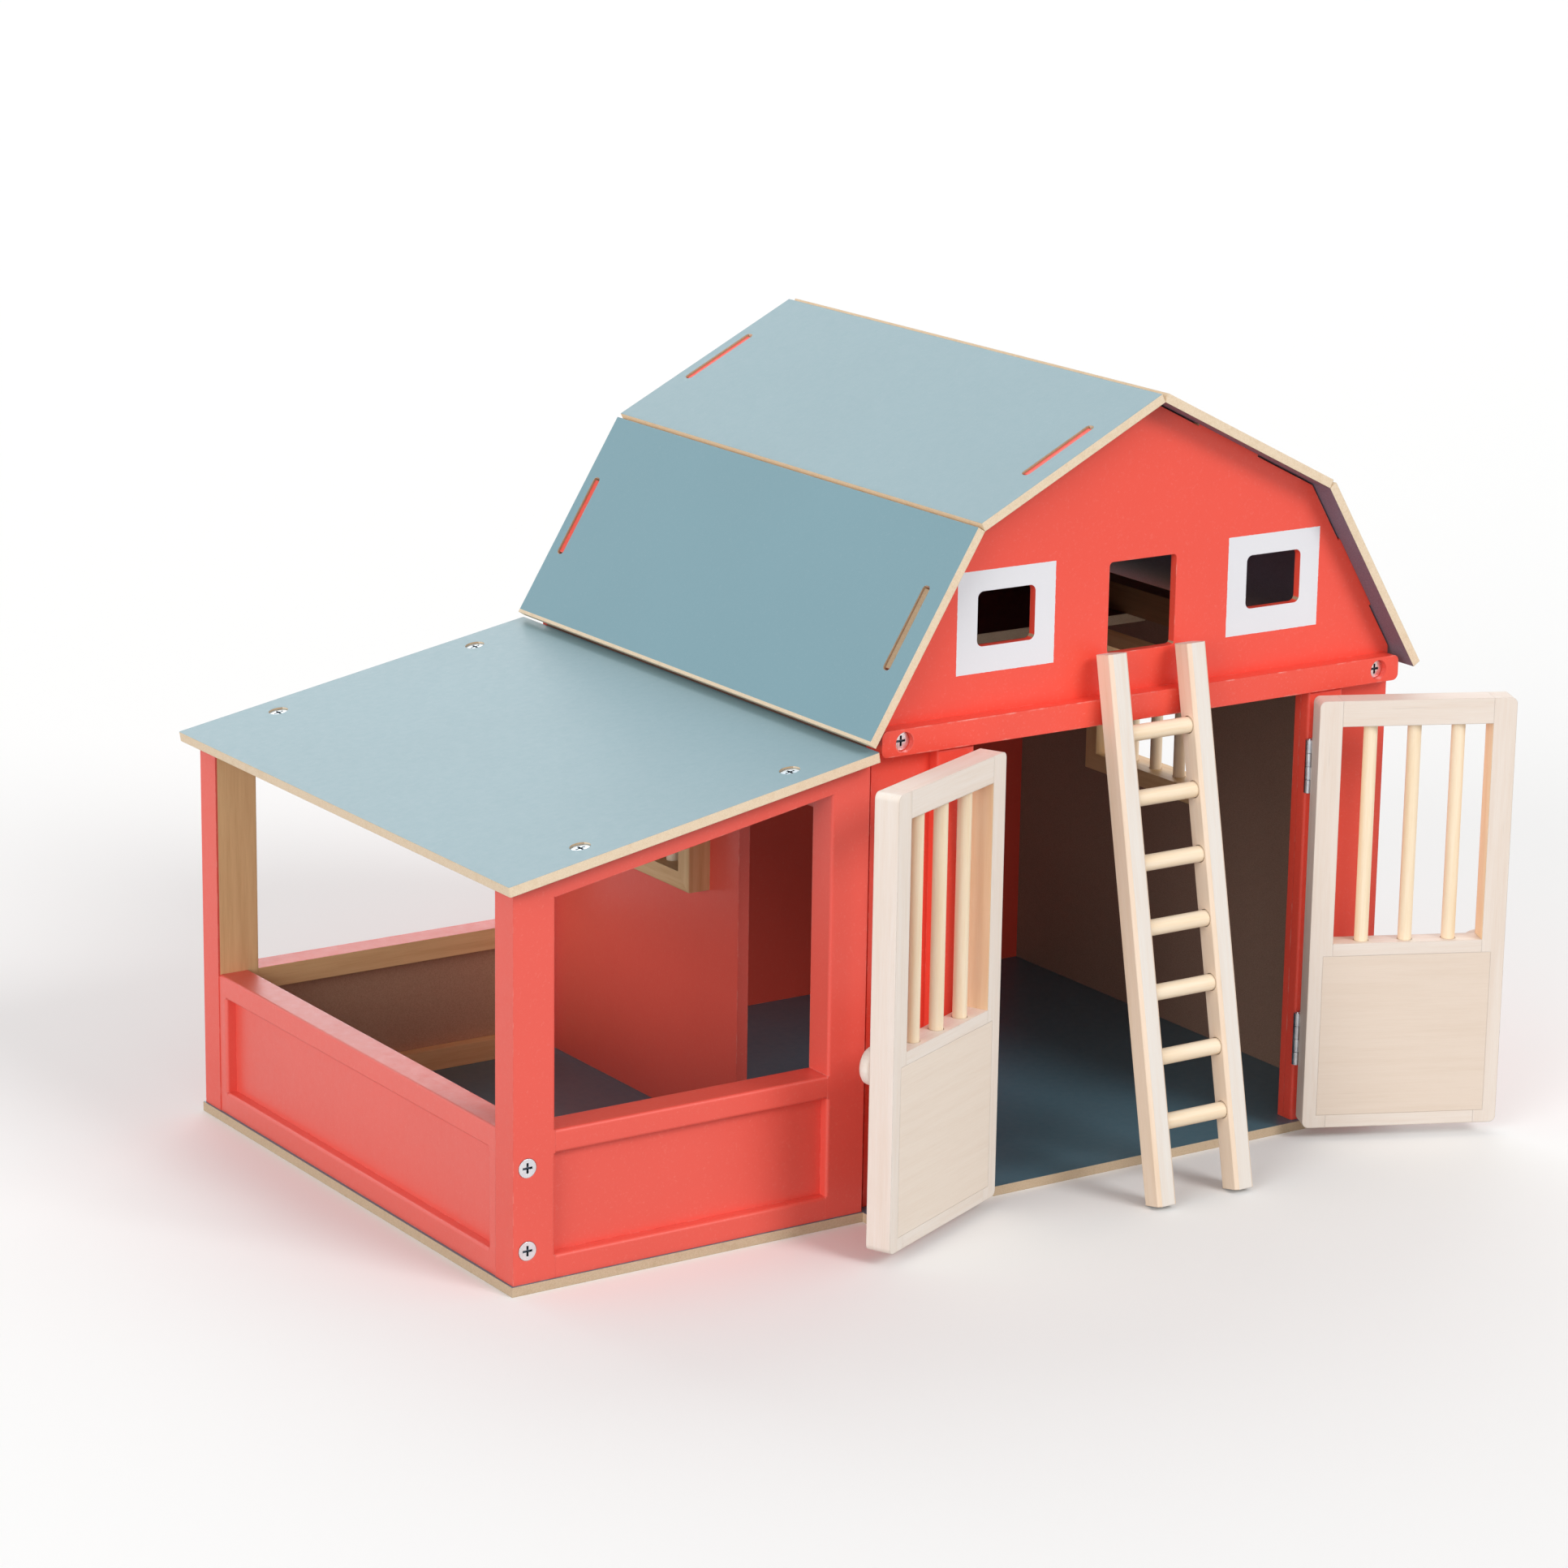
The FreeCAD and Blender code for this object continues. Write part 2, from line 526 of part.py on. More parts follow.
def make_windows():
    """Mitred frames with three upright bars, let into both side walls."""
    low_y = f"{FRONT} + frame_start"
    high_y = f"{low_y} + frame_width"
    top_z = "(wall_top - frame_drop)"
    low_z = f"({top_z} - frame_height)"
    outside = rect(low_y, high_y, low_z, top_z)
    inside = rect(
        f"{low_y} + frame_member",
        f"{high_y} - frame_member",
        f"{low_z} + frame_member",
        f"{top_z} - frame_member",
    )
    pitch = "(frame_width - 2 * frame_member) / 4"
    bar_low = f"{low_z} + frame_member - bar_seat"
    bar_length = "frame_height - 2 * frame_member + 2 * bar_seat"
    for side, sign in (("left", "-1"), ("right", "1")):
        limits = [f"{sign} * ({HALF} - wall_thick)", f"{sign} * ({HALF} + frame_proud)"]
        face = limits[1]
        if side == "left":
            limits.reverse()
        bars, seats = [], []
        for number in range(1, 4):
            spot = {"x": f"{sign} * ({HALF} + (frame_proud - wall_thick) / 2)"}
            spot["y"] = f"{low_y} + frame_member + {number} * {pitch}"
            name = f"{side}_window_bar_{number}"
            bars.append(rod(name, "window_bar_radius", bar_length, z=bar_low, **spot))
            seats.append(rod(f"{name}_seat", "window_bar_radius + bar_gap", bar_length, z=bar_low, **spot))
        members = []
        for step, place in enumerate(("bottom", "back", "top", "front")):
            follow = (step + 1) % 4
            mitre = [outside[step], outside[follow], inside[follow], inside[step]]
            stick = board(f"{side}_frame_{place}", "YZ", *limits, mitre)
            axis, text = (2, outside[step][1]) if step % 2 == 0 else (1, outside[follow][0])
            ease(stick, "frame_round", at_line((0, face), (axis, text)))
            members.append(less(f"{side}_frame_{place}_bored", stick, seats) if step % 2 == 0 else stick)
        node(group(f"{side}_window_frame", members), f"{side}_window_frame")
        node(group(f"{side}_window_bars", bars), f"{side}_window_bars")


def hinge_leaf(name, sign, middle, order):
    """One hinge leaf about the hinge axis, its knuckles taking every second place from the given one."""
    bottom = f"{middle} - hinge_height / 2"
    knuckle = "(hinge_height - 3 * knuckle_gap) / 4"
    clear = "barrel_radius + leaf_gap"
    depth = (f"{BARREL_STAND} - leaf_thick", BARREL_STAND)
    limits = [f"{sign} * ({clear})", f"{sign} * leaf_width"]
    neck = ["0", f"{sign} * ({clear})"]
    if sign == "-1":
        limits.reverse()
        neck.reverse()
    pieces = [block(f"{name}_plate", limits, depth, (bottom, f"{bottom} + hinge_height"))]
    for place in (order, order + 2):
        foot = f"{bottom} + {place} * ({knuckle} + knuckle_gap)"
        pieces.append(block(f"{name}_neck_{place}", neck, depth, (foot, f"{foot} + {knuckle}")))
        pieces.append(rod(f"{name}_knuckle_{place}", "barrel_radius", knuckle, z=foot))
    bore = rod(f"{name}_bore", "pin_radius + pin_gap", "hinge_height", z=bottom)
    return less(name, joined(f"{name}_blank", pieces), [bore])


def knob_outline(front, back):
    """Half of a knob's section from its axis outward, with each rim rounded in three flats."""
    soft = "min(knob_round; knob_proud * 0.45)"
    rim = []
    for turn in (0, 30, 60, 90):
        rim.append((f"knob_radius - {soft} * (1 - sin({turn}))", f"{soft} * (1 - cos({turn}))"))
    outer = [(across, f"{front} + {deep}") for across, deep in rim]
    inner = [(across, f"{back} - {deep}") for across, deep in reversed(rim)]
    return [("0", front), *outer, *inner, ("0", back)]


def make_door(side, sign, axis, opened):
    """A framed and barred door with its knob, hinges and pins, modelled closed about its hinge axis."""
    toward = "-1" if sign == "1" else "1"
    near = "hinge_gap / 2"
    far = "(opening_half - hinge_gap / 2 - meeting_gap / 2)"
    face, inner = BARREL_STAND, f"{BARREL_STAND} + door_thick"
    bottom = "(base_thick + door_floor_gap)"
    top = f"({BEAM_BOTTOM} - door_head_gap)"
    panel_low = f"({bottom} + door_foot)"
    panel_high = f"({panel_low} + door_panel_height)"
    mid_top = f"({panel_high} + door_mid_rail)"
    axis_y = f"{FRONT} - post_proud - {BARREL_STAND}"
    post_axis = {"x": f"{sign} * (opening_half - hinge_gap / 2)", "y": axis_y}

    def span(start, end):
        """Two distances from the hinge axis as limits along X."""
        limits = [f"{toward} * ({start})", f"{toward} * ({end})"]
        return limits if toward == "1" else limits[::-1]

    def hang(thing, name):
        node(set_down(thing, axis=axis, angle=opened, **post_axis), f"{side}_door_{name}")

    panel_x = span(f"{near} + door_stile - rabbet", f"{far} - door_stile + rabbet")
    panel_y = (f"{inner} - door_panel_thick", inner)
    rabbet = block(f"{side}_rabbet", panel_x, panel_y, (panel_low, panel_high))
    panel = rect(*panel_x, panel_low, panel_high)
    hang(board(f"{side}_panel", "XZ", *panel_y, panel), "panel")

    bars, seats = [], []
    bar_low = f"{mid_top} - bar_seat"
    bar_length = f"{top} - door_top_rail - {mid_top} + 2 * bar_seat"
    for number in range(1, 4):
        reach = f"({near} + {far}) / 2 + ({number} - 2) * door_bar_pitch"
        spot = {"x": f"{toward} * ({reach})", "y": f"{face} + door_thick / 2"}
        name = f"{side}_door_bar_{number}"
        bars.append(rod(name, "door_bar_radius", bar_length, z=bar_low, **spot))
        seats.append(rod(f"{name}_seat", "door_bar_radius + bar_gap", bar_length, z=bar_low, **spot))

    for name, limits, edge in (
        ("hinge_stile", span(near, f"{near} + door_stile"), near),
        ("free_stile", span(f"{far} - door_stile", far), far),
    ):
        stick = board(f"{side}_{name}_stick", "XZ", face, inner, rect(*limits, bottom, top))
        rim = f"{toward} * ({edge})"
        ease(stick, "door_corner", at_corners("XZ", [(rim, bottom), (rim, top)]))
        hang(less(f"{side}_{name}", stick, [rabbet]), name)

    rail_x = span(f"{near} + door_stile", f"{far} - door_stile")
    for name, low, high, tools in (
        ("top_rail", f"{top} - door_top_rail", top, seats),
        ("middle_rail", f"{panel_high} - rabbet", mid_top, [*seats, rabbet]),
        ("bottom_rail", bottom, f"{panel_low} + rabbet", [rabbet]),
    ):
        stick = board(f"{side}_{name}_stick", "XZ", face, inner, rect(*rail_x, low, high))
        hang(less(f"{side}_{name}", stick, tools), name)
    hang(group(f"{side}_bars", bars), "bars")

    knob = DOC.addObject("PartDesign::Body", f"{side}_knob")
    profile = drawing_on(knob, f"{side}_knob_profile", "XY", f"{bottom} + knob_rise")
    profile.setExpression(".AttachmentOffset.Base.x", ref(f"{toward} * ({far} - knob_edge)"))
    draw_loop(profile, knob_outline(f"{face} - knob_proud", face))
    turned = knob.newObject("PartDesign::Revolution", f"{side}_knob_turned")
    turned.Profile = profile
    turned.ReferenceAxis = (profile, ["V_Axis"])
    turned.Angle = 360
    DOC.recompute()
    hang(knob, "knob")

    heights = (("upper", f"{top} - upper_hinge_drop"), ("lower", f"{bottom} + lower_hinge_rise"))
    leaves = [hinge_leaf(f"{side}_{name}_door_leaf", toward, middle, 1) for name, middle in heights]
    hang(group(f"{side}_door_leaves", leaves), "hinge_leaves")
    fixed = [hinge_leaf(f"{side}_{name}_post_leaf", sign, middle, 0) for name, middle in heights]
    node(set_down(group(f"{side}_post_leaves", fixed), **post_axis), f"{side}_post_hinge_leaves")
    pins = []
    for name, middle in heights:
        foot = f"{middle} - hinge_height / 2 - pin_end"
        length = "hinge_height + 2 * pin_end"
        pins.append(rod(f"{side}_{name}_pin", "pin_radius", length, z=foot, **post_axis))
    node(group(f"{side}_hinge_pins", pins), f"{side}_hinge_pins")


def make_ladder():
    """A loose ladder that leans on the front beam, its rungs let into both stiles."""
    lean = f"atan2(ladder_reach - beam_proud - ladder_rest_gap; {BEAM_TOP})"
    spot = {"x": "ladder_shift", "y": f"{FRONT} - ladder_reach", "axis": (-1, 0, 0), "angle": lean}
    length = f"({BEAM_TOP} / cos({lean}) + ladder_over)"
    count = f"floor(({length} - rung_first - rung_end) / rung_pitch) + 1"
    inner = "(ladder_width / 2 - ladder_stile)"
    for side, limits, seat in (
        ("left", ("-ladder_width / 2", f"-{inner}"), f"-{inner}"),
        ("right", (inner, "ladder_width / 2"), inner),
    ):
        body = board(f"ladder_{side}", "XY", "0", length, rect(*limits, "-ladder_deep", "0"))
        corners = rect(*limits, "-ladder_deep", "0")
        ease(body, "ladder_chamfer", at_corners("XY", corners), "Chamfer")
        drawing = drawing_on(body, f"ladder_{side}_seat", "YZ", seat)
        drawing.addGeometry(Part.Circle(FreeCAD.Vector(), FreeCAD.Vector(0, 0, 1), value("rung_radius")))
        size = drawing.addConstraint(Sketcher.Constraint("Radius", 0, value("rung_radius + bar_gap")))
        drawing.setExpression(f"Constraints[{size}]", ref("rung_radius + bar_gap"))
        hold(drawing, 0, 3, "-ladder_deep / 2", "rung_first")
        before = body.Shape.Volume
        pocket = body.newObject("PartDesign::Pocket", f"ladder_{side}_pocket")
        pocket.Profile = drawing
        pocket.Reversed = side == "right"
        pocket.setExpression("Length", ref("rung_seat"))
        DOC.recompute()
        if before - pocket.Shape.Volume < 1:
            raise ValueError(f"the first rung seat of the ladder's {side} stile cuts nothing")
        row = body.newObject("PartDesign::LinearPattern", f"ladder_{side}_seats")
        row.Originals = [pocket]
        row.Direction = (origin_item(body, "Z_Axis"), [""])
        row.setExpression("Length", ref(f"rung_pitch * ({count} - 1)"))
        row.setExpression("Occurrences", ref(count))
        body.Tip = row
        DOC.recompute()
        node(set_down(body, **spot), f"ladder_{side}_stile")
    rungs = []
    reach = f"({inner} + rung_seat - bar_gap)"
    for number in range(int(value(count))):
        place = (f"-{reach}", "-ladder_deep / 2", f"rung_first + {number} * rung_pitch")
        rungs.append(rod(f"rung_{number + 1}", "rung_radius", f"2 * {reach}", *place, RIGHT, "90"))
    node(set_down(group("ladder_rungs", rungs), **spot), "ladder_rungs")


def edge_waste(name, run, across, other, limits):
    """What rounding takes off an edge along Y or Z; each place comes with the side that the wood is on."""
    spans, middles = [], []
    for place, side in (across, other):
        middles.append(f"{place} {side} lean_round")
        spans.append((place, middles[-1]) if side == "+" else (middles[-1], place))
    length = f"({limits[1]}) - ({limits[0]})"
    if run == "Z":
        stick = block(name, *spans, limits)
        core = rod(f"{name}_core", "lean_round", length, *middles, limits[0])
    else:
        stick = block(name, spans[0], limits, spans[1])
        core = rod(f"{name}_core", "lean_round", length, middles[0], limits[0], middles[1], (-1, 0, 0), "90")
    return less(f"{name}_waste", stick, [core])


def make_lean_to():
    """The lean-to: base, front and back frames with panels, low side wall, sloped roof and screws."""
    inner = f"-({HALF} + base_side_lap)"
    outer = f"({inner} - lean_width)"
    front = f"({FRONT} - lean_front_lap)"
    back = f"({BACK} + lean_back_lap)"
    base = rect(f"{outer} - lean_base_lap", inner, f"{front} - lean_base_lap", f"{back} + lean_base_lap")
    node(board("lean_to_base", "XY", "0", "base_thick", base), "lean_to_base")

    lean_high = f"({EAVE_Z} - lean_eave_gap - lean_roof_thick / cos(lean_slope))"

    def roof_line(x):
        return f"({lean_high} - ({inner} - {x}) * tan(lean_slope))"

    screws, roof_holes = [], []
    roof_spot = {"x": inner, "z": lean_high, "axis": LEFT, "angle": "lean_slope"}
    low_edge = "-(lean_width + lean_eave_lap) / cos(lean_slope)"
    plate = rect(low_edge, "0", f"{front} - lean_roof_front", f"{back} + lean_roof_back")
    roof = board("lean_roof_plate", "XY", "0", "lean_roof_thick", plate)
    ease(roof, "lean_roof_corner", at_corners("XY", plate))
    for end, y in (("front", f"{front} + lean_wall / 2"), ("back", f"{back} - lean_wall / 2")):
        for place, run in (
            ("near", "lean_inner_stile + roof_screw_in"),
            ("far", "lean_width - lean_outer_stile - roof_screw_in"),
        ):
            spot = {"x": f"-({run}) / cos(lean_slope)", "y": y, "z": "lean_roof_thick"}
            solid, hole = screw(f"roof_screw_{end}_{place}", "roof_screw_sink", "roof_screw_length", **spot)
            screws.append(solid)
            roof_holes.append(hole)
    bored = set_down(less("lean_roof_bored", roof, roof_holes), **roof_spot)
    node(bored, "lean_to_roof")
    node(set_down(group("lean_roof_screws", screws), **roof_spot), "lean_to_roof_screws")
    rail_holes = set_down(group("lean_roof_holes", roof_holes), **roof_spot)

    corner_screws, corner_holes = [], []
    low = "(base_thick + lean_rail)"
    high = "(sill_top - lean_rail)"
    corner_length = "lean_wall + side_stile - screw_cone - corner_screw_cover"
    for end, face, axis in (("front", front, (1, 0, 0)), ("back", back, (-1, 0, 0))):
        for place, z in (("low", f"{low} + corner_screw_edge"), ("high", f"{high} - corner_screw_edge")):
            spot = {"x": f"{outer} + corner_screw_in", "y": face, "z": z}
            name = f"corner_screw_{end}_{place}"
            solid, hole = screw(name, "0", f"({corner_length})", axis=axis, angle="90", **spot)
            corner_screws.append(solid)
            corner_holes.append(hole)
    node(group("lean_to_corner_screws", corner_screws), "lean_to_corner_screws")

    left = f"({outer} + lean_outer_stile)"
    right = f"({inner} - lean_inner_stile)"
    panel = rect(left, right, low, high)
    beyond_panel = "(lean_wall - lean_panel_inset)"
    for end, limits, face, wood, panel_y in (
        (
            "front",
            (front, f"{front} + lean_wall"),
            front,
            "+",
            (f"{front} + {beyond_panel} - lean_panel_thick", f"{front} + {beyond_panel}"),
        ),
        (
            "back",
            (f"{back} - lean_wall", back),
            back,
            "-",
            (f"{back} - {beyond_panel}", f"{back} - {beyond_panel} + lean_panel_thick"),
        ),
    ):
        def member(name, corners, rounded):
            stick = board(f"lean_{end}_{name}", "XZ", *limits, corners)
            tests = [at_line((1, face), (axis, text)) for axis, text in rounded]
            return ease(stick, "lean_round", any_of(*tests))

        def stile(name, edge, side, rim, holes):
            """An upright whose edge is rounded along the panel and the window, and square at the rails."""
            foot = [(rim, "base_thick"), (edge, "base_thick")]
            outline = [*foot, (edge, roof_line(edge)), (rim, roof_line(rim))]
            stick = board(f"lean_{end}_{name}_stick", "XZ", *limits, outline)
            window = ("sill_top", f"{roof_line(edge)} - lean_rail")
            waste = []
            for place, heights in (("panel", (low, high)), ("window", window)):
                label = f"lean_{end}_{name}_{place}"
                waste.append(edge_waste(label, "Z", (edge, side), (face, wood), heights))
            return less(f"lean_{end}_{name}", stick, [*waste, *holes])

        outer_stile = stile("outer_stile", left, "-", outer, corner_holes)
        inner_stile = stile("inner_stile", right, "+", inner, [])
        bottom = member("bottom_rail", rect(left, right, "base_thick", low), [(2, low)])
        sill = member("sill", rect(left, right, high, "sill_top"), [(2, high), (2, "sill_top")])
        head = [(left, f"{roof_line(left)} - lean_rail"), (right, f"{roof_line(right)} - lean_rail")]
        head += [(right, roof_line(right)), (left, roof_line(left))]
        rail = board(f"lean_{end}_head", "XZ", *limits, head)
        top_rail = less(f"lean_{end}_head_bored", rail, [rail_holes])
        members = [outer_stile, inner_stile, bottom, sill, top_rail]
        node(group(f"lean_to_{end}_frame", members), f"lean_to_{end}_frame")
        node(board(f"lean_{end}_panel", "XZ", *panel_y, panel), f"lean_to_{end}_panel")

    wall_x = (f"{outer} + side_inset", f"{outer} + side_inset + lean_wall")
    start, end = f"({front} + lean_wall)", f"({back} - lean_wall)"
    wall_y = (f"{start} + side_stile", f"{end} - side_stile")

    def side_member(name, corners, edges):
        stick = board(f"lean_side_{name}", "YZ", *wall_x, corners)
        tests = [at_line((0, wall_x[0]), (axis, text)) for axis, text in edges]
        return ease(stick, "lean_round", any_of(*tests))

    rim = (wall_x[0], "+")
    sill = board("lean_side_sill", "YZ", *wall_x, rect(start, end, "base_thick", low))
    bottom = less("lean_side_bottom", sill, [edge_waste("lean_side_low", "Y", rim, (low, "-"), wall_y)])
    rail = side_member("rail", rect(start, end, high, "sill_top"), [(2, "sill_top")])
    cap = less("lean_side_cap", rail, [edge_waste("lean_side_high", "Y", rim, (high, "+"), wall_y)])
    front_end = side_member("front_end", rect(start, wall_y[0], low, high), [(1, wall_y[0])])
    back_end = side_member("back_end", rect(wall_y[1], end, low, high), [(1, wall_y[1])])
    ends = [less(f"{stick.Name}_bored", stick, corner_holes) for stick in (front_end, back_end)]
    node(group("lean_to_side_frame", [bottom, cap, *ends]), "lean_to_side_frame")
    beyond = f"{wall_x[0]} + {beyond_panel}"
    panel_x = (f"{beyond} - lean_panel_thick", beyond)
    node(board("lean_side_panel", "YZ", *panel_x, rect(*wall_y, low, high)), "lean_to_side_panel")


def write_parts():
    """Checks every object and each part's shape, then writes one file per part."""
    DOC.recompute()
    faulty = [thing.Name for thing in DOC.Objects if {"Invalid", "Error"} & set(thing.State)]
    faulty += [piece.Label for piece in NODES if piece.Shape.isNull() or not piece.Shape.isValid()]
    if faulty:
        raise ValueError(f"these did not come out right: {faulty}")
    os.makedirs("parts", exist_ok=True)
    for piece in NODES:
        piece.Shape.exportStep(f"parts/{piece.Label}.step")
    print(f"{len(NODES)} parts written")


make_walls(make_doorway())
make_roof()
make_windows()
make_door("left", "-1", (0, 0, -1), "left_door_angle")
make_door("right", "1", (0, 0, 1), "right_door_angle")
make_ladder()
make_lean_to()
write_parts()
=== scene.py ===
# %% [markdown]
# # A wooden toy barn, dressed in Blender
#
# The barn's boards, doors and ladder come ready made from the CAD model: every board already has
# its right size and place. What is missing is the look of the thing, and that is this lesson:
# satin paint on fibreboard, raw sawn edges, bare pine, birch dowels, zinc-plated hinges and their
# little screws.

# %% Load the barn
import math

import bmesh
import bpy
from mathutils import Matrix, Vector


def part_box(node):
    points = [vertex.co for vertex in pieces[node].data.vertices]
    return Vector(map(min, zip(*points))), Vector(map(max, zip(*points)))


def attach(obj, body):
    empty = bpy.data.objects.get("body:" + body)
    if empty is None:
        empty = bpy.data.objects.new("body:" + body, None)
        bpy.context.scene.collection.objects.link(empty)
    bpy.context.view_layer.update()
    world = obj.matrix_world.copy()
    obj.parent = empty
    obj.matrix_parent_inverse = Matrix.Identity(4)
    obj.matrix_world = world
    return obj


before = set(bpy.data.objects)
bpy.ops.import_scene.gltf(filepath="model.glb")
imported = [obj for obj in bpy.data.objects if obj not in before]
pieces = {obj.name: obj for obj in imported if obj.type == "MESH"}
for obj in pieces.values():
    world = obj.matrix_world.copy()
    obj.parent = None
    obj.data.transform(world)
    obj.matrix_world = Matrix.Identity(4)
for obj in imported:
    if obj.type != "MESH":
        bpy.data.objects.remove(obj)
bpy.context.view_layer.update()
print(len(pieces), "pieces from the CAD model")

# %% [markdown]
# ## The camera
#
# A toy on a table is looked at from a little above and from the corner, so the front, one side and
# the roof show. A long lens keeps the walls nearly parallel. The camera could be aimed with a
# Track To constraint, but a plain position, a viewing direction and a small roll are easier to
# read, so the turn is made from those.

# %% Camera
camera = bpy.data.objects.new("camera", bpy.data.cameras.new("camera"))
bpy.context.scene.collection.objects.link(camera)
camera.data.lens = 110.33
camera.data.sensor_width = 36.0
camera.location = (-1.30896, -1.81276, 0.74187)
sight = Vector((0.53651, 0.80380, -0.25703))
roll = Matrix.Rotation(math.radians(0.86), 3, "Z")
camera.rotation_euler = (sight.to_track_quat("-Z", "Y").to_matrix() @ roll).to_euler()
bpy.context.scene.camera = camera
bpy.context.scene.view_settings.view_transform = "Standard"
print("camera", tuple(round(v, 3) for v in camera.location), "lens", camera.data.lens)

# %% [markdown]
# ## Floor and sky
#
# A product table is pale and plain, and its light is soft. A white world gives much of the light,
# so a painted colour renders about as it is written. Light Path tells what kind of ray asks: where
# the world and the table are seen or mirrored, in screws for instance, they are white, and where
# they only light the boards they are weaker. That keeps the rooms as dark as they are under real
# lamps, and leaves room for light with a direction.


# %% Rays that show the background
def seen_or_mirrored(tree):
    """1 for rays that show a thing, straight or mirrored, 0 for rays that carry its light."""
    ray = tree.nodes.new("ShaderNodeLightPath")
    share = ray.outputs["Is Camera Ray"]
    for kind in ("Is Glossy Ray", "Is Transmission Ray"):
        either = tree.nodes.new("ShaderNodeMath")
        either.operation = "MAXIMUM"
        tree.links.new(share, either.inputs[0])
        tree.links.new(ray.outputs[kind], either.inputs[1])
        share = either.outputs[0]
    return share


print("background mask ready")

# %% Floor
FLOOR_SIZE = 20
FLOOR_AS_LIGHT = (0.5, 0.5, 0.5, 1)
FLOOR_AS_SEEN = (0.92, 0.92, 0.915, 1)

table = bmesh.new()
bmesh.ops.create_grid(table, x_segments=1, y_segments=1, size=FLOOR_SIZE)
floor = bpy.data.objects.new("floor", bpy.data.meshes.new("floor"))
table.to_mesh(floor.data)
table.free()
bpy.context.scene.collection.objects.link(floor)

floor_finish = bpy.data.materials.new("pale_floor")
floor_finish.use_nodes = True
floor_tree = floor_finish.node_tree
floor_shader = floor_tree.nodes["Principled BSDF"]
pale = floor_tree.nodes.new("ShaderNodeMix")
pale.data_type = "RGBA"
pale.inputs[6].default_value = FLOOR_AS_LIGHT
pale.inputs[7].default_value = FLOOR_AS_SEEN
floor_tree.links.new(seen_or_mirrored(floor_tree), pale.inputs[0])
floor_tree.links.new(pale.outputs[2], floor_shader.inputs["Base Color"])
floor_shader.inputs["Roughness"].default_value = 0.9
floor.data.materials.append(floor_finish)
print("floor of", len(floor.data.polygons), "face, as light", FLOOR_AS_LIGHT[0], "of white")

# %% Sky
SKY_AS_LIGHT, SKY_AS_SEEN = 0.55, 1.0

sky = bpy.data.worlds.new("studio")
sky.use_nodes = True
sky_tree = sky.node_tree
background = sky_tree.nodes["Background"]
background.inputs["Color"].default_value = (1, 1, 1, 1)
strength = sky_tree.nodes.new("ShaderNodeMapRange")
sky_tree.links.new(seen_or_mirrored(sky_tree), strength.inputs["Value"])
strength.inputs["To Min"].default_value = SKY_AS_LIGHT
strength.inputs["To Max"].default_value = SKY_AS_SEEN
sky_tree.links.new(strength.outputs[0], background.inputs["Strength"])
bpy.context.scene.world = sky
print("sky, as light", SKY_AS_LIGHT, "and where it is seen", SKY_AS_SEEN)

# %% [markdown]
# ## Lamps
#
# The main light comes from high up in front, a little from the right, so the front is bright, the
# rooms are dark and the ladder throws its shadow to the left. A near lamp would let the table fall
# off to grey. A sun lights all of it evenly, and one with a wide angle is as soft as a big studio
# lamp, so three suns do the work. The second one stands low on the left and reaches under the
# lean-to's roof. The widest one stands behind, about where the upper roofs mirror it, so their
# satin paint turns pale and shows its sheen.


# %% Lamps
def hang_sun(name, toward, power, width):
    """A sun that shines from a direction, as wide as the given angle in degrees."""
    sun = bpy.data.objects.new(name, bpy.data.lights.new(name, "SUN"))
    sun.data.energy = power
    sun.data.angle = math.radians(width)
    sun.rotation_euler = Vector(toward).to_track_quat("Z", "Y").to_euler()
    bpy.context.scene.collection.objects.link(sun)
    print(name, "from", toward, "power", power, "width", width)


hang_sun("front_sun", toward=(0.6, -1.7, 1.25), power=1.3, width=24)
hang_sun("side_sun", toward=(-0.9, -0.4, 0.26), power=1.4, width=36)
hang_sun("roof_sun", toward=(0.3, 0.8, 0.52), power=0.95, width=60)

# %% [markdown]
# ## Tools for finishes
#
# A finish is a tree of shader nodes. Wiring each node by hand takes four lines, so one helper adds
# a node and fills its sockets, either with a number or with the output of another node. Colours
# are written as they look on a screen, 0 to 255, and are made linear because shaders work in
# linear light.


# %% Colours and nodes
def screen(red, green, blue):
    """A colour as it looks on a screen, for a shader's socket."""
    shares = [part / 255 for part in (red, green, blue)]
    return (*[v / 12.92 if v < 0.04 else ((v + 0.055) / 1.055) ** 2.4 for v in shares], 1)


def step(finish, kind, sockets=None, **settings):
    """Adds a shader node; a socket gets a number or the output of another node."""
    made = finish.node_tree.nodes.new("ShaderNode" + kind)
    for name, setting in settings.items():
        setattr(made, name, setting)
    for name, given in (sockets or {}).items():
        if isinstance(given, bpy.types.NodeSocket):
            finish.node_tree.links.new(given, made.inputs[name])
        else:
            made.inputs[name].default_value = given
    return made


print("half grey on a screen is", round(screen(128, 128, 128)[0], 3), "in linear light")


# %% Sums, ramps and mixes
def maths(finish, operation, one, two=0.0, clamp=False):
    """One sum on two numbers or sockets."""
    sockets = {0: one, 1: two}
    return step(finish, "Math", sockets, operation=operation, use_clamp=clamp).outputs[0]


def ramp(finish, number, low, high, to_low=0.0, to_high=1.0):
    """A number stretched from one span to another and kept inside it."""
    sockets = {"Value": number, 1: low, 2: high, 3: to_low, 4: to_high}
    return step(finish, "MapRange", sockets, clamp=True).outputs[0]


def blended(finish, share, one, two):
    """Two colours mixed by a share."""
    return step(finish, "Mix", {0: share, 6: one, 7: two}, data_type="RGBA").outputs[2]


def evened(finish, share, one, two):
    """Two numbers mixed by a share."""
    return step(finish, "Mix", {0: share, 2: one, 3: two}, data_type="FLOAT").outputs[0]


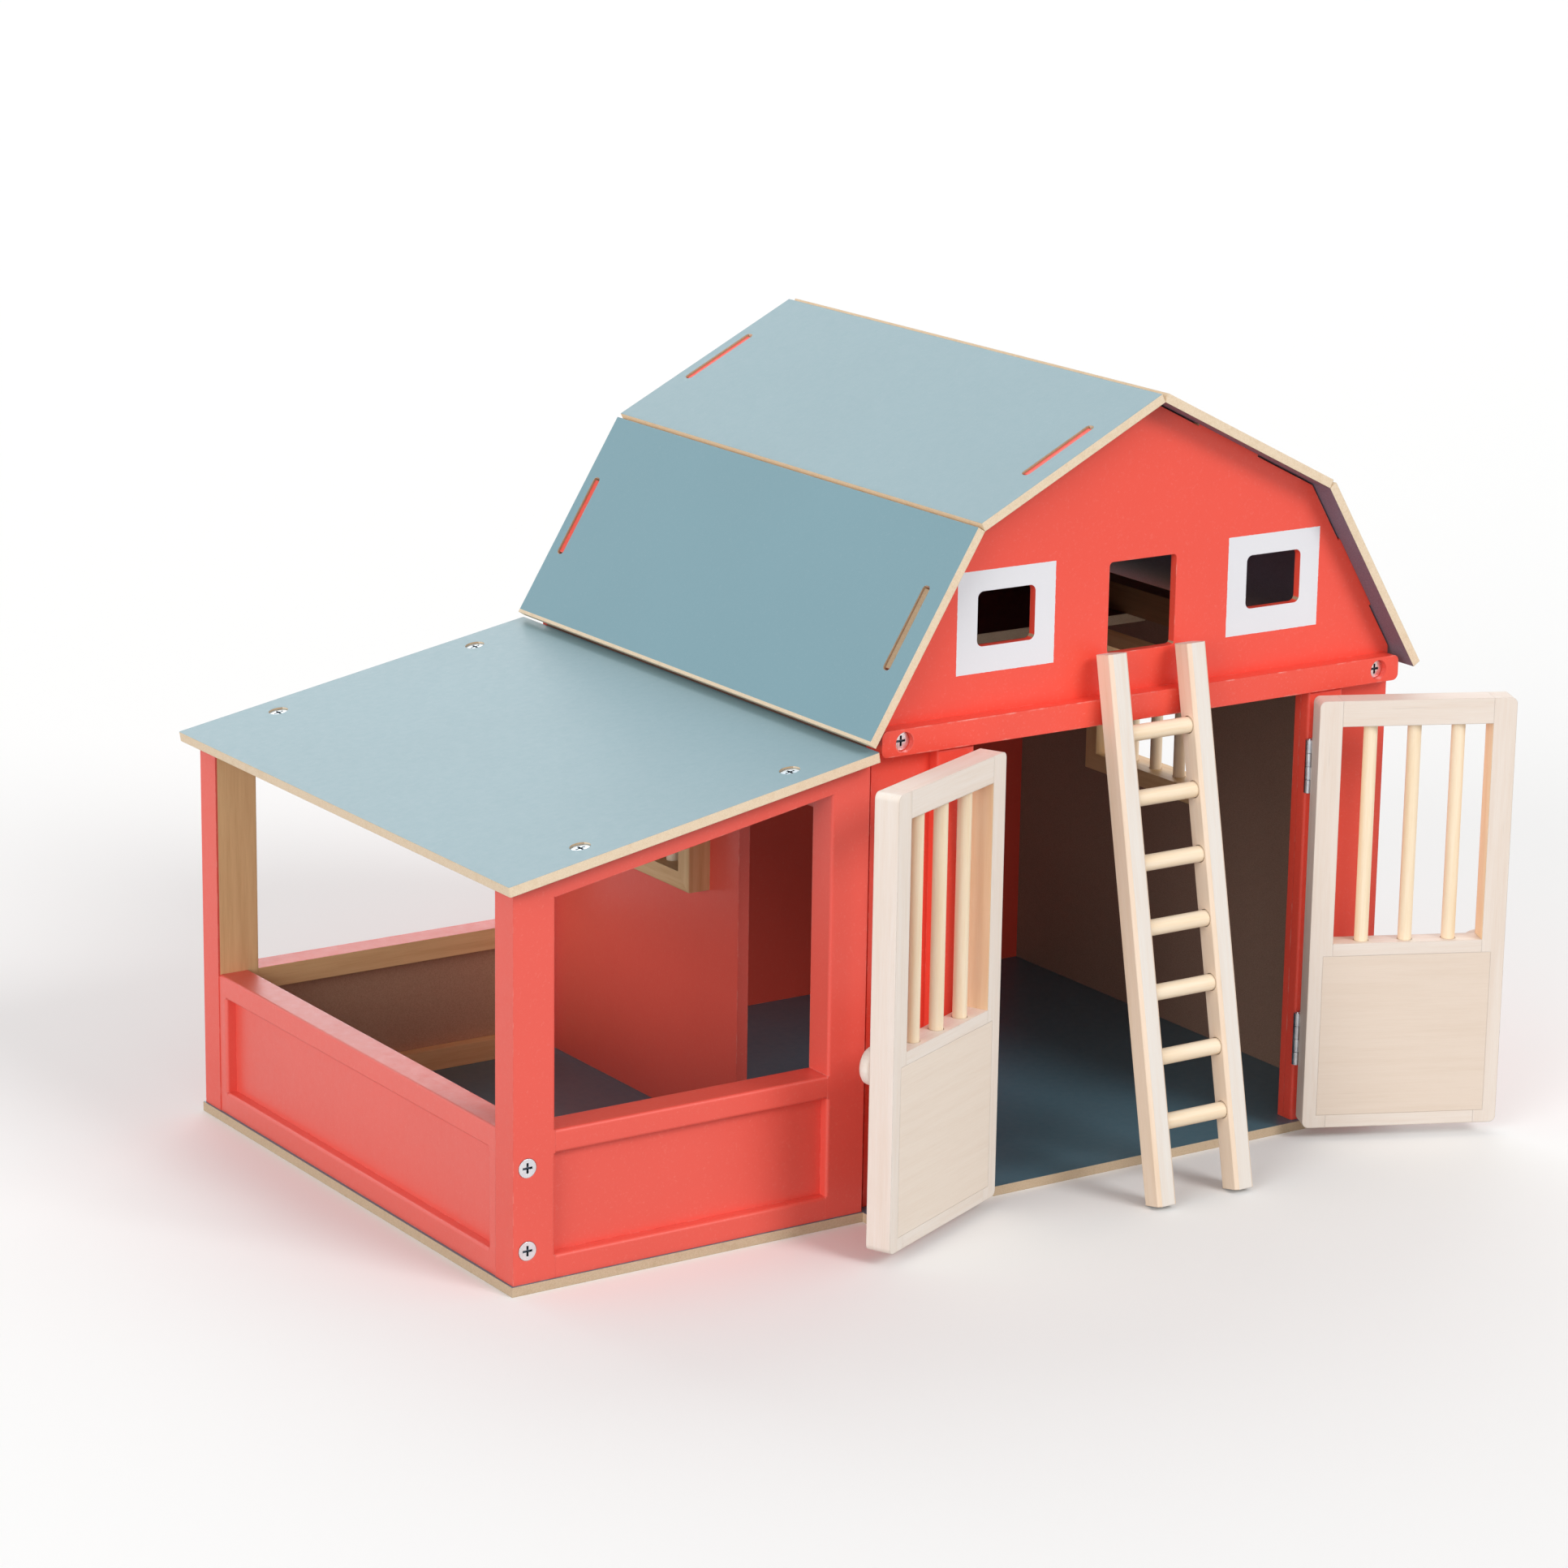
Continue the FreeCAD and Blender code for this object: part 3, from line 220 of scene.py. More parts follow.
print("sums, ramps and mixes ready")


# %% Places and noise
def place_of(finish):
    """The point on the piece, in metres from the barn's origin."""
    return step(finish, "TexCoord").outputs["Object"]


def spots(finish, scale, detail=4.0, space=None):
    """Cloudy noise on Object coordinates, or on a given space."""
    space = space or place_of(finish)
    sockets = {"Vector": space, "Scale": scale, "Detail": detail, "Roughness": 0.6}
    return step(finish, "TexNoise", sockets).outputs["Fac"]


print("places and noise ready")

# %% [markdown]
# ## Which way a face looks
#
# The real boards are painted on their broad faces only: the sawn edges stay raw, and the lean-to
# is bare wood inside. The mask for that could be painted by hand, but the direction of the face
# already tells the sides apart. Texture Coordinate gives the normal in the piece's own space, so
# the mask stays put when a door swings. A mask can be narrowed by tests on a point's place, such
# as a height.

# %% Face masks
SQUARELY = 0.6


def along(finish, vector, way):
    """How far a vector goes along a direction."""
    sockets = {0: vector, 1: way}
    return step(finish, "VectorMath", sockets, operation="DOT_PRODUCT").outputs["Value"]


def facing(finish, way):
    """How squarely a face looks along a direction: 1 straight at it, -1 away from it."""
    return along(finish, step(finish, "TexCoord").outputs["Normal"], way)


def looks_along(finish, way):
    """1 on faces that look along a direction, else 0."""
    return maths(finish, "GREATER_THAN", facing(finish, way), SQUARELY)


def lies_across(finish, way):
    """1 on the two broad faces of a board with this normal, else 0."""
    return maths(finish, "GREATER_THAN", maths(finish, "ABSOLUTE", facing(finish, way)), SQUARELY)


def where(finish, mask, *tests):
    """A mask that stays 1 only where all tests hold, each a comparison, a number and its limit."""
    for comparison, number, limit in tests:
        mask = maths(finish, "MULTIPLY", mask, maths(finish, comparison, number, limit))
    return mask


print("a face looks along a way within", round(math.degrees(math.acos(SQUARELY))), "degrees of it")

# %% [markdown]
# ## Worn and highlit edges
#
# Lacquer wears thin along the corners first, and in patches, and the paler line there is also a
# painted highlight, the light that rounded edges catch. Edges could be marked by hand, but the
# Bevel node finds them: it gives the normal of a rounded edge, and where that leaves the true
# normal an edge is near. Noise breaks the line into patches.


# %% Worn and highlit edges
def worn_and_highlit_edge(finish, radius):
    """Near 1 in broken patches along the edges (wear and painted highlight), 0 on the faces."""
    rounded = step(finish, "Bevel", {"Radius": radius}, samples=6).outputs["Normal"]
    true = step(finish, "NewGeometry").outputs["Normal"]
    near = ramp(finish, along(finish, rounded, true), 0.97, 0.8)
    patches = ramp(finish, spots(finish, 130, 5), 0.5, 0.68)
    return maths(finish, "MULTIPLY", near, patches)


print("worn edges ready")

# %% [markdown]
# ## Coats
#
# A coat is three things that change together over a surface: colour, roughness and height. Keeping
# them in one small bundle lets a mask lay one coat over another, the way paint lies over raw
# board. The last step wires the bundle to the shader, with the height as a bump and the Bevel
# node's normal to soften sawn corners.


# %% Lay one coat over another
def over(finish, mask, top, under):
    """The top coat where the mask is 1, the under coat elsewhere."""
    return {
        "colour": blended(finish, mask, under["colour"], top["colour"]),
        "rough": evened(finish, mask, under["rough"], top["rough"]),
        "height": evened(finish, mask, under["height"], top["height"]),
    }


print("coats ready")

# %% Dress a finish and give it to pieces
SAWN_CORNER = 0.0005
SATIN_GLOSS = 0.5


def new_finish(name):
    """An empty finish with a shader."""
    finish = bpy.data.materials.new(name)
    finish.use_nodes = True
    return finish


def dress(finish, coat, depth, corner=SAWN_CORNER, gloss=SATIN_GLOSS):
    """Wires a coat to the finish's shader, with bumps as deep as given and softened corners."""
    shader = finish.node_tree.nodes["Principled BSDF"]
    rounded = step(finish, "Bevel", {"Radius": corner}, samples=4).outputs["Normal"]
    sockets = {"Strength": 1.0, "Distance": depth, "Height": coat["height"], "Normal": rounded}
    bump = step(finish, "Bump", sockets).outputs["Normal"]
    finish.node_tree.links.new(coat["colour"], shader.inputs["Base Color"])
    finish.node_tree.links.new(coat["rough"], shader.inputs["Roughness"])
    finish.node_tree.links.new(bump, shader.inputs["Normal"])
    shader.inputs["Specular IOR Level"].default_value = gloss


def wear(finish, *names):
    """Gives a finish to some of the barn's pieces."""
    for name in names:
        pieces[name].data.materials.clear()
        pieces[name].data.materials.append(finish)
    print(finish.name, "on", ", ".join(names))


print("corners are softened by", SAWN_CORNER, "m")

# %% [markdown]
# ## Paint
#
# The paint is a sprayed satin lacquer. Close up it is not one colour: it lies in faint clouds,
# shows tiny pale specks, has an orange-peel surface and is rubbed thin along the corners, where
# the pale line is also a painted highlight. A glossy shader with one flat colour would read as
# plastic, so each of these gets its own small noise.

# %% A painted coat
PAINT_PEEL = 0.00003
RED = screen(242, 82, 64)
# a paler, greyer red: a painted sheen, and painted light on the wall in the lean-to's shade
RED_WITH_PAINTED_SHEEN = screen(237, 93, 79)
# pale red for specks, and for edges that are worn paint with a painted highlight
RED_WORN_AND_HIGHLIT = screen(248, 168, 156)


def painted(finish, colour, pale_wear_and_highlight, edge=0.0011, satin=(0.34, 0.44), specked=0.16, clouded=0.94):
    """Satin lacquer: colour clouds, pale specks, orange peel, worn edges with a painted highlight.
    """
    clouds = ramp(finish, spots(finish, 9, 2), 0.3, 0.7)
    darker = tuple(v * clouded for v in colour[:3]) + (1,)
    tint = blended(finish, clouds, darker, colour)
    specks = ramp(finish, spots(finish, 850, 3), 0.58, 0.78, 0, specked)
    tint = blended(finish, specks, tint, pale_wear_and_highlight)
    # edges paler from wear and from a painted highlight
    edge_wear_and_highlight = maths(finish, "MULTIPLY", worn_and_highlit_edge(finish, edge), 0.7)
    peel = spots(finish, 620, 2)
    return {
        "colour": blended(finish, edge_wear_and_highlight, tint, pale_wear_and_highlight),
        "rough": ramp(finish, spots(finish, 260, 4), 0.3, 0.7, *satin),
        "height": maths(finish, "ADD", peel, maths(finish, "MULTIPLY", edge_wear_and_highlight, -0.5)),
    }


print("paint ready, its orange peel", PAINT_PEEL, "m deep")

# %% [markdown]
# ## Wood
#
# The toy's wood is pale and calm: soft streaks along the stick, finer fibres between them, a few
# dark pores and only a hint of yearly rings. A Wave texture alone draws rings like a ruler, so
# noise that is stretched along the stick does most of the work and the bent wave is laid in
# thinly. A Mapping node of the Texture kind first turns the space to the stick and then stretches
# it, so one recipe serves a post, a ladder and an opened door.


# %% The grain's direction
def along_stick(finish, way, turn=(0, 0, 0), stretch=22.0):
    """Object coordinates turned to a stick and stretched along its grain, way being 0, 1 or 2."""
    scale = [1.0, 1.0, 1.0]
    scale[way] = stretch
    sockets = {"Vector": place_of(finish), "Rotation": turn, "Scale": scale}
    return step(finish, "Mapping", sockets, vector_type="TEXTURE").outputs["Vector"]


def either_way(finish, mask, one, two):
    """One grain where the mask is 0, the other where it is 1."""
    return step(finish, "Mix", {0: mask, 4: one, 5: two}, data_type="VECTOR").outputs[1]


print("grain ready")

# %% A wooden coat
GRAIN_DEPTH = 0.00004
PINE = screen(242, 200, 146)
PINE_DARK = screen(222, 174, 122)


def wooden(finish, space, light, dark, rings=0.22, matt=(0.44, 0.6)):
    """Planed wood: streaks, fibres, faint rings and a few pores along the stick."""
    streaks = spots(finish, 330, 5, space)
    fibres = spots(finish, 1700, 4, space)
    wave = {"Vector": space, "Scale": 42.0, "Distortion": 7.0, "Detail": 3.0, "Detail Scale": 0.6}
    bands = step(finish, "TexWave", wave, bands_direction="DIAGONAL").outputs["Fac"]
    share = maths(finish, "MULTIPLY", maths(finish, "POWER", bands, 3.0), rings)
    share = maths(finish, "ADD", share, ramp(finish, streaks, 0.42, 0.74, 0, 0.6))
    share = maths(finish, "ADD", share, ramp(finish, fibres, 0.45, 0.8, 0, 0.35), clamp=True)
    pores = ramp(finish, spots(finish, 520, 2, space), 0.73, 0.8, 0, 0.3)
    deep = tuple(v * 0.6 for v in dark[:3]) + (1,)
    return {
        "colour": blended(finish, pores, blended(finish, share, light, dark), deep),
        "rough": ramp(finish, fibres, 0.3, 0.7, *matt),
        "height": maths(finish, "ADD", fibres, maths(finish, "MULTIPLY", streaks, 0.6)),
    }


print("wood ready, its grain", GRAIN_DEPTH, "m deep")

# %% [markdown]
# ## Raw board
#
# Where fibreboard is sawn, its tan inside shows, finely speckled and a little fuzzy, and the side
# that nobody painted is the smooth brown of pressed hardboard. Two noises of different grain do
# both: one for the fibres, one for the faint darker clouds from the saw or the press.

# %% Raw board
FRESHLY_SAWN = (screen(234, 214, 187), screen(221, 198, 166), screen(207, 179, 142))
# the darker sawn tones, used on floor edges and, as painted shade, inside the roof's slots
SAWN_DARKENED = (screen(186, 158, 126), screen(168, 139, 108), screen(150, 120, 90))


def raw_board(finish, light, dark, cloud, matt=(0.7, 0.9)):
    """Unpainted fibreboard: fine fibres and faint clouds."""
    fuzz = spots(finish, 1800, 4)
    pressed = spots(finish, 220, 4)
    tint = blended(finish, ramp(finish, fuzz, 0.38, 0.72), light, dark)
    return {
        "colour": blended(finish, ramp(finish, pressed, 0.52, 0.8, 0, 0.4), tint, cloud),
        "rough": ramp(finish, fuzz, 0.3, 0.7, *matt),
        "height": fuzz,
    }


def sawn_edge(finish, browned=0.0):
    """The tan of a sawn edge, darker and browner from 0 to 1."""
    shades = [
        tuple(new + (old - new) * browned for new, old in zip(fresh, dark_end))
        for fresh, dark_end in zip(FRESHLY_SAWN, SAWN_DARKENED)
    ]
    return raw_board(finish, *shades)


def hardboard(finish, light, dark):
    """The smooth brown side of a board."""
    return raw_board(finish, light, dark, dark, (0.5, 0.65))


print("raw board ready")

# %% [markdown]
# ## The front sheet
#
# The front is one red sheet with two white frames painted round the gable windows. Modelling the
# frames as strips would give them thickness they do not have, so they are a mask on the paint: a
# box in X and Z, the same on both sides of the middle, and only on the outer face. A little noise
# frays its borders. The ends of the lower tabs, which show in the roof's slots, stay raw and take
# the darkest sawn tan, a painted shade of the slots' depth: they are the faces that look along the
# lower slopes.

# %% Slopes of the roof
ROOF_TILT = {
    "left_upper": math.radians(-26.5),
    "right_upper": math.radians(26.5),
    "left_lower": math.radians(-58.4),
    "right_lower": math.radians(58.4),
    "lean_to": math.radians(-10.25),
}


def above_roof(panel):
    """The direction in which a roof panel's upper face looks."""
    return (math.sin(ROOF_TILT[panel]), 0, math.cos(ROOF_TILT[panel]))


def down_roof(panel):
    """The direction that runs down a roof panel."""
    tilt = ROOF_TILT[panel]
    return Vector((math.copysign(math.cos(tilt), tilt), 0, -abs(math.sin(tilt))))


for panel in ROOF_TILT:
    print(panel, "roof looks along", tuple(round(v, 3) for v in above_roof(panel)))

# %% Front sheet
FRAME_NEAR, FRAME_FAR = 0.049, 0.1025
FRAME_LOW, FRAME_HIGH = 0.244, 0.2905
FRAYED = 0.0001
STRAIGHT_ALONG = 0.97
# the pale white serves specks, and edges that are worn paint with a painted highlight
FRAME_WHITE, FRAME_WORN_AND_HIGHLIT = screen(231, 231, 235), screen(246, 246, 246)

front_finish = new_finish("red_front_sheet")
at = step(front_finish, "SeparateXYZ", {"Vector": place_of(front_finish)}).outputs
ragged = ramp(front_finish, spots(front_finish, 420, 3), 0.3, 0.7, -FRAYED, FRAYED)
across = maths(front_finish, "ADD", maths(front_finish, "ABSOLUTE", at["X"]), ragged)
upward = maths(front_finish, "ADD", at["Z"], ragged)
frame_mask = where(
    front_finish,
    looks_along(front_finish, (0, -1, 0)),
    ("GREATER_THAN", across, FRAME_NEAR),
    ("LESS_THAN", across, FRAME_FAR),
    ("GREATER_THAN", upward, FRAME_LOW),
    ("LESS_THAN", upward, FRAME_HIGH),
)
white_frames = painted(front_finish, FRAME_WHITE, FRAME_WORN_AND_HIGHLIT, satin=(0.4, 0.55))
front_coat = over(front_finish, frame_mask, white_frames, painted(front_finish, RED, RED_WORN_AND_HIGHLIT))
# the tab ends take the darkest sawn tan: raw board with painted shade of the slots
for panel in ("left_lower", "right_lower"):
    slope = facing(front_finish, above_roof(panel))
    shaded_tab_ends = maths(front_finish, "GREATER_THAN", slope, STRAIGHT_ALONG)
    front_coat = over(front_finish, shaded_tab_ends, sawn_edge(front_finish, 1.0), front_coat)
dress(front_finish, front_coat, PAINT_PEEL)
wear(front_finish, "front_wall")

# %% [markdown]
# ## Back sheet, posts and beam
#
# The back sheet and the door posts are red all over. The beam over the doors is red too, but hands
# and the ladder's top rub it, so its lacquer is paler along the edges, and that pale line is also
# a painted highlight on its rounded corners. It could share the posts' finish, but a finish of its
# own lets the worn and highlit line be wider.

# %% Back sheet, posts and beam
# pale red for the beam's edges: worn paint with a painted highlight
BEAM_WORN_AND_HIGHLIT = screen(250, 196, 184)

back_finish = new_finish("red_back_sheet")
dress(back_finish, painted(back_finish, RED, RED_WORN_AND_HIGHLIT), PAINT_PEEL)
wear(back_finish, "back_wall", "left_door_post", "right_door_post")

beam_finish = new_finish("red_front_beam")
dress(beam_finish, painted(beam_finish, RED, BEAM_WORN_AND_HIGHLIT, edge=0.0016), PAINT_PEEL)
wear(beam_finish, "front_beam")

# %% [markdown]
# ## Walls painted on one side
#
# The side walls and the lean-to are red outside and bare inside: brown hardboard on the boards,
# pine on the frame that holds the panels. Their red is paler and greyer than the front's, a
# painted sheen. Inside the barn the hardboard is a darker brown than in the lean-to, a painted
# shade of the closed barn, and the strip of wall in the gap under the eaves gets that brown as
# painted shade. The mask takes the faces that look inward and, in the frame, also the narrow
# ledges behind a panel, which lie beyond the panel's own plane and inside its recess. The spray
# gun reaches a little round the outer corner. The posts of a frame run upright and its rails lie
# flat, so the grain changes where the posts begin. The lean-to's side carries a thicker lacquer
# and shines more, which turns it pinker.

# %% Side walls and panels
EAVES_SHADE_FROM = 0.2165
SIDE_GLOSS = 1.0
# the barn walls' inner brown is darker than the lean-to panels': painted shade of the closed barn
WALL_BROWN_SHADED = (screen(150, 122, 105), screen(128, 102, 87))
PANEL_BROWN = (screen(196, 158, 131), screen(175, 138, 113))


def red_board(name, inward, brown, piece, gloss=SATIN_GLOSS):
    """A board red outside, bare on its inward face and, as painted shade, in the gap under the
    eaves.
    """
    finish = new_finish(name)
    height = along(finish, place_of(finish), (0, 0, 1))
    # above this height the wall takes the dark inner brown: painted shade under the eaves
    eaves = maths(finish, "GREATER_THAN", height, EAVES_SHADE_FROM)
    bare = maths(finish, "MAXIMUM", looks_along(finish, inward), eaves)
    red = painted(finish, RED_WITH_PAINTED_SHEEN, RED_WORN_AND_HIGHLIT)
    dress(finish, over(finish, bare, hardboard(finish, *brown), red), PAINT_PEEL, gloss=gloss)
    wear(finish, piece)


red_board("red_left_wall", (1, 0, 0), WALL_BROWN_SHADED, "left_wall")
red_board("red_right_wall", (-1, 0, 0), WALL_BROWN_SHADED, "right_wall")
red_board("red_front_panel", (0, 1, 0), PANEL_BROWN, "lean_to_front_panel")
red_board("red_back_panel", (0, -1, 0), PANEL_BROWN, "lean_to_back_panel")
red_board("red_side_panel", (1, 0, 0), PANEL_BROWN, "lean_to_side_panel", SIDE_GLOSS)

# %% The lean-to's frames
LEDGE_TOP = 0.0615
SPRAYED_TO = -0.3305


def red_frame(name, piece, inward, panel_plane, rail, middle, reach, gloss=SATIN_GLOSS):
    """A frame that is red outside, and bare pine inside and on the ledges behind its panel."""
    finish = new_finish(name)
    spot = place_of(finish)
    along_rail = tuple(1 if axis == rail else 0 for axis in range(3))
    off_middle = maths(finish, "SUBTRACT", along(finish, spot, along_rail), middle)
    post = maths(finish, "GREATER_THAN", maths(finish, "ABSOLUTE", off_middle), reach)
    ledge = where(
        finish,
        maths(finish, "SUBTRACT", 1.0, post),
        ("GREATER_THAN", along(finish, spot, inward), panel_plane),
        ("LESS_THAN", along(finish, spot, (0, 0, 1)), LEDGE_TOP),
    )
    bare = maths(finish, "MAXIMUM", looks_along(finish, inward), ledge)
    bare = where(finish, bare, ("GREATER_THAN", along(finish, spot, (1, 0, 0)), SPRAYED_TO))
    grain = either_way(finish, post, along_stick(finish, rail), along_stick(finish, 2))
    pine = wooden(finish, grain, PINE, PINE_DARK)
    red = painted(finish, RED_WITH_PAINTED_SHEEN, RED_WORN_AND_HIGHLIT)
    dress(finish, over(finish, bare, pine, red), PAINT_PEEL, gloss=gloss)
    wear(finish, piece)


red_frame("red_front_frame", "lean_to_front_frame", inward=(0, 1, 0), panel_plane=-0.1385,
          rail=0, middle=-0.2405, reach=0.07005)
red_frame("red_back_frame", "lean_to_back_frame", inward=(0, -1, 0), panel_plane=-0.1355,
          rail=0, middle=-0.2405, reach=0.07005)
red_frame("red_side_frame", "lean_to_side_frame", inward=(1, 0, 0), panel_plane=-0.3241,
          rail=1, middle=-0.0015, reach=0.1227, gloss=SIDE_GLOSS)

# %% [markdown]
# ## Roof and floor boards
#
# Roof panels and ground floors are fibreboard with a painted skin. The upper face carries paint,
# the underside is a dark mauve board, a painted shade with painted red light bounced from the
# walls, and the sawn edges stay raw, browner inside the slots, a painted shade of their depth. The
# faces are told apart by the board's own normal, and each roof slope has its own.
# At the eaves the corner is eased with sandpaper, so the raw board shows there as a thin line: a
# point belongs to it when it lies far enough down the slope.

# %% Boards with raw edges
# a dark mauve for undersides: painted shade with painted red light bounced from the walls
UNDERSIDE_SHADE = (screen(118, 106, 120), screen(102, 90, 104))
SKIN_PEEL = 0.000008
SLOTS_END = 0.142
EASED = 0.0016


def painted_board(name, colour, pale_wear_and_highlight, up, satin, browned, *names, down=None):
    """Paint on the upper face, pressed board underneath, raw edges elsewhere and at the eaves."""
    finish = new_finish(name)
    spot = place_of(finish)
    off_middle = maths(finish, "ABSOLUTE", along(finish, spot, (0, 1, 0)))
    # slot walls take the darkest sawn tan: painted shade of the slots' depth
    slot_shade = where(finish, lies_across(finish, (0, 1, 0)), ("LESS_THAN", off_middle, SLOTS_END))
    edges = over(finish, slot_shade, sawn_edge(finish, 1.0), sawn_edge(finish, browned))
    underneath = looks_along(finish, tuple(-v for v in up))
    board = over(finish, underneath, hardboard(finish, *UNDERSIDE_SHADE), edges)
    skin = looks_along(finish, up)
    if down:
        eaves = max(corner.co.dot(down) for corner in pieces[names[0]].data.vertices)
        skin = where(finish, skin, ("LESS_THAN", along(finish, spot, down), eaves - EASED))
    paint = painted(finish, colour, pale_wear_and_highlight, edge=0.0008, satin=satin, specked=0.08, clouded=0.97)
    dress(finish, over(finish, skin, paint, board), SKIN_PEEL)
    wear(finish, *names)


print("boards ready, their eaves eased by", EASED, "m")

# %% Roof panels
STEEP_ROOF = screen(124, 161, 172)
# the flatter panels get a greyer copy of the same blue: painted sheen
FLAT_ROOF_SHEENED = screen(126, 157, 166)
# pale for specks, and for edges that are worn paint with a painted highlight
ROOF_WORN_AND_HIGHLIT = screen(200, 210, 214)
ROOF_SATIN = (0.36, 0.44)

for panel in ROOF_TILT:
    steep = panel.endswith("lower")
    painted_board(f"{panel}_roof_paint", STEEP_ROOF if steep else FLAT_ROOF_SHEENED, ROOF_WORN_AND_HIGHLIT,
                  above_roof(panel), ROOF_SATIN, 0.0, f"{panel}_roof",
                  down=down_roof(panel) if steep else None)

# %% Floors
# the pale slate serves specks, and edges that are worn paint with a painted highlight
SLATE, SLATE_WORN_AND_HIGHLIT = screen(84, 119, 134), screen(124, 146, 156)
SLATE_SATIN = (0.3, 0.38)
LOFT_BROWN = (screen(112, 80, 66), screen(92, 64, 52))
LOFT_FUZZ = 0.00001

painted_board("slate_floor", SLATE, SLATE_WORN_AND_HIGHLIT, (0, 0, 1), SLATE_SATIN, 0.6,
              "barn_base", "lean_to_base")

loft_finish = new_finish("brown_loft_floor")
loft_faces = lies_across(loft_finish, (0, 0, 1))
loft_board = hardboard(loft_finish, *LOFT_BROWN)
loft_coat = over(loft_finish, loft_faces, loft_board, sawn_edge(loft_finish))
dress(loft_finish, loft_coat, LOFT_FUZZ)
wear(loft_finish, "loft_floor")

# %% [markdown]
# ## Bare sticks
#
# Rails, window frames, doors, bars and rungs are bare wood. Each stick's grain runs along its
# length, so every finish names the axis it follows, and the doors and the ladder will also name
# how far they are turned at rest. The window frames are mitred: a point belongs to a lying member
# where it is nearer to the top or bottom edge of the frame than to an upright one, and the grain
# turns on that line.

# %% Rails and dowels
PLANED_CORNER = 0.0007
UPRIGHT = (0, 0, 0)
BIRCH = screen(246, 228, 203)
BIRCH_DARK = screen(236, 208, 170)
RAIL_BROWN = (screen(150, 108, 74), screen(126, 88, 58))


def bare_wood(name, way, turn, light, dark, *names, rings=0.22):
    """A bare wooden finish with its grain along one axis of a turned piece."""
    finish = new_finish(name)
    wood = wooden(finish, along_stick(finish, way, turn), light, dark, rings)
    dress(finish, wood, GRAIN_DEPTH, PLANED_CORNER)
    wear(finish, *names)


bare_wood("brown_rail", 1, UPRIGHT, *RAIL_BROWN, "left_loft_rail", "right_loft_rail")
bare_wood("window_dowel", 2, UPRIGHT, BIRCH, BIRCH_DARK, "left_window_bars", "right_window_bars")

# %% Mitred window frames
WINDOW_Y, WINDOW_Z = 0.0355, 0.158
WINDOW_HALF_LONG, WINDOW_HALF_TALL = 0.0465, 0.0377
WINDOW_PINE = (screen(226, 190, 142), screen(204, 160, 110))
MITRED_CORNER = 0.0006

mitred = new_finish("pine_window_frame")
spot = step(mitred, "SeparateXYZ", {"Vector": place_of(mitred)}).outputs
off_middle = maths(mitred, "ABSOLUTE", maths(mitred, "SUBTRACT", spot["Y"], WINDOW_Y))
off_centre = maths(mitred, "ABSOLUTE", maths(mitred, "SUBTRACT", spot["Z"], WINDOW_Z))
to_upright = maths(mitred, "SUBTRACT", WINDOW_HALF_LONG, off_middle)
to_lying = maths(mitred, "SUBTRACT", WINDOW_HALF_TALL, off_centre)
lying = maths(mitred, "LESS_THAN", to_lying, to_upright)
grain = either_way(mitred, lying, along_stick(mitred, 2), along_stick(mitred, 1))
dress(mitred, wooden(mitred, grain, *WINDOW_PINE), GRAIN_DEPTH, MITRED_CORNER)
wear(mitred, "left_window_frame", "right_window_frame")

# %% [markdown]
# ## Doors and ladder
#
# Each door is a frame of pale planed wood round a thin panel and three dowels. Its faces are
# sanded nearly white, but the sides of the barred window and of the ladder keep the warm tone of
# fresh wood. Two pieces of wood could be modelled for that, but it is one stick, so the finish
# tells its sides apart: by the way a face looks, and on a door also by its distance from the
# hinge, because the door's outer edges are sanded too. The right door is painted a little darker
# and the left a little lighter, painted shade and painted light for how the front light falls on
# them.


# %% Wood with warm sides
def two_toned(name, way, turn, warm_mask, pale, pale_dark, warm, warm_dark, *names):
    """Pale sanded wood with warm sides where the mask is 1."""
    finish = new_finish(name)
    grain = along_stick(finish, way, turn)
    sides = wooden(finish, grain, warm, warm_dark)
    faces = wooden(finish, grain, pale, pale_dark)
    dress(finish, over(finish, warm_mask(finish), sides, faces), GRAIN_DEPTH, PLANED_CORNER)
    wear(finish, *names)


print("two-toned wood ready")

# %% How the doors stand
DOOR_OPEN = math.radians(155)
DOOR_SWING = {"left": -DOOR_OPEN, "right": DOOR_OPEN}
HINGE_OUT, HINGE_FRONT = 0.095, 0.1488
DOOR_MIDDLE, WINDOW_REACH = 0.0475, 0.04


def window_sides(side):
    """A mask that is 1 on a door's sides that look into its barred window, else 0."""
    outward = math.copysign(math.cos(math.pi - DOOR_OPEN), DOOR_SWING[side])
    across_door = (outward, -math.sin(DOOR_OPEN), 0)
    hinge_line = HINGE_OUT * abs(outward) + HINGE_FRONT * math.sin(DOOR_OPEN)

    def mask(finish):
        """The mask in one finish, by the distance from the hinge."""
        reach = along(finish, place_of(finish), across_door)
        from_hinge = maths(finish, "SUBTRACT", reach, hinge_line)
        off_middle = maths(finish, "ABSOLUTE", maths(finish, "SUBTRACT", from_hinge, DOOR_MIDDLE))
        sides = lies_across(finish, across_door)
        return where(finish, sides, ("LESS_THAN", off_middle, WINDOW_REACH))

    return mask


print("doors stand open by", round(math.degrees(DOOR_OPEN)), "degrees")

# %% Doors
# left door lighter, right door darker: painted light and painted shade
DOOR_FRAME = {
    "left": (screen(241, 231, 221), screen(233, 217, 201)),
    "right": (screen(230, 218, 207), screen(222, 204, 188)),
}
DOOR_PANEL = {
    "left": (screen(240, 226, 211), screen(234, 217, 200)),
    "right": (screen(226, 209, 193), screen(219, 200, 182)),
}
WARM = (screen(250, 224, 186), screen(240, 206, 158))
DOWEL = (screen(247, 229, 201), screen(237, 209, 168))

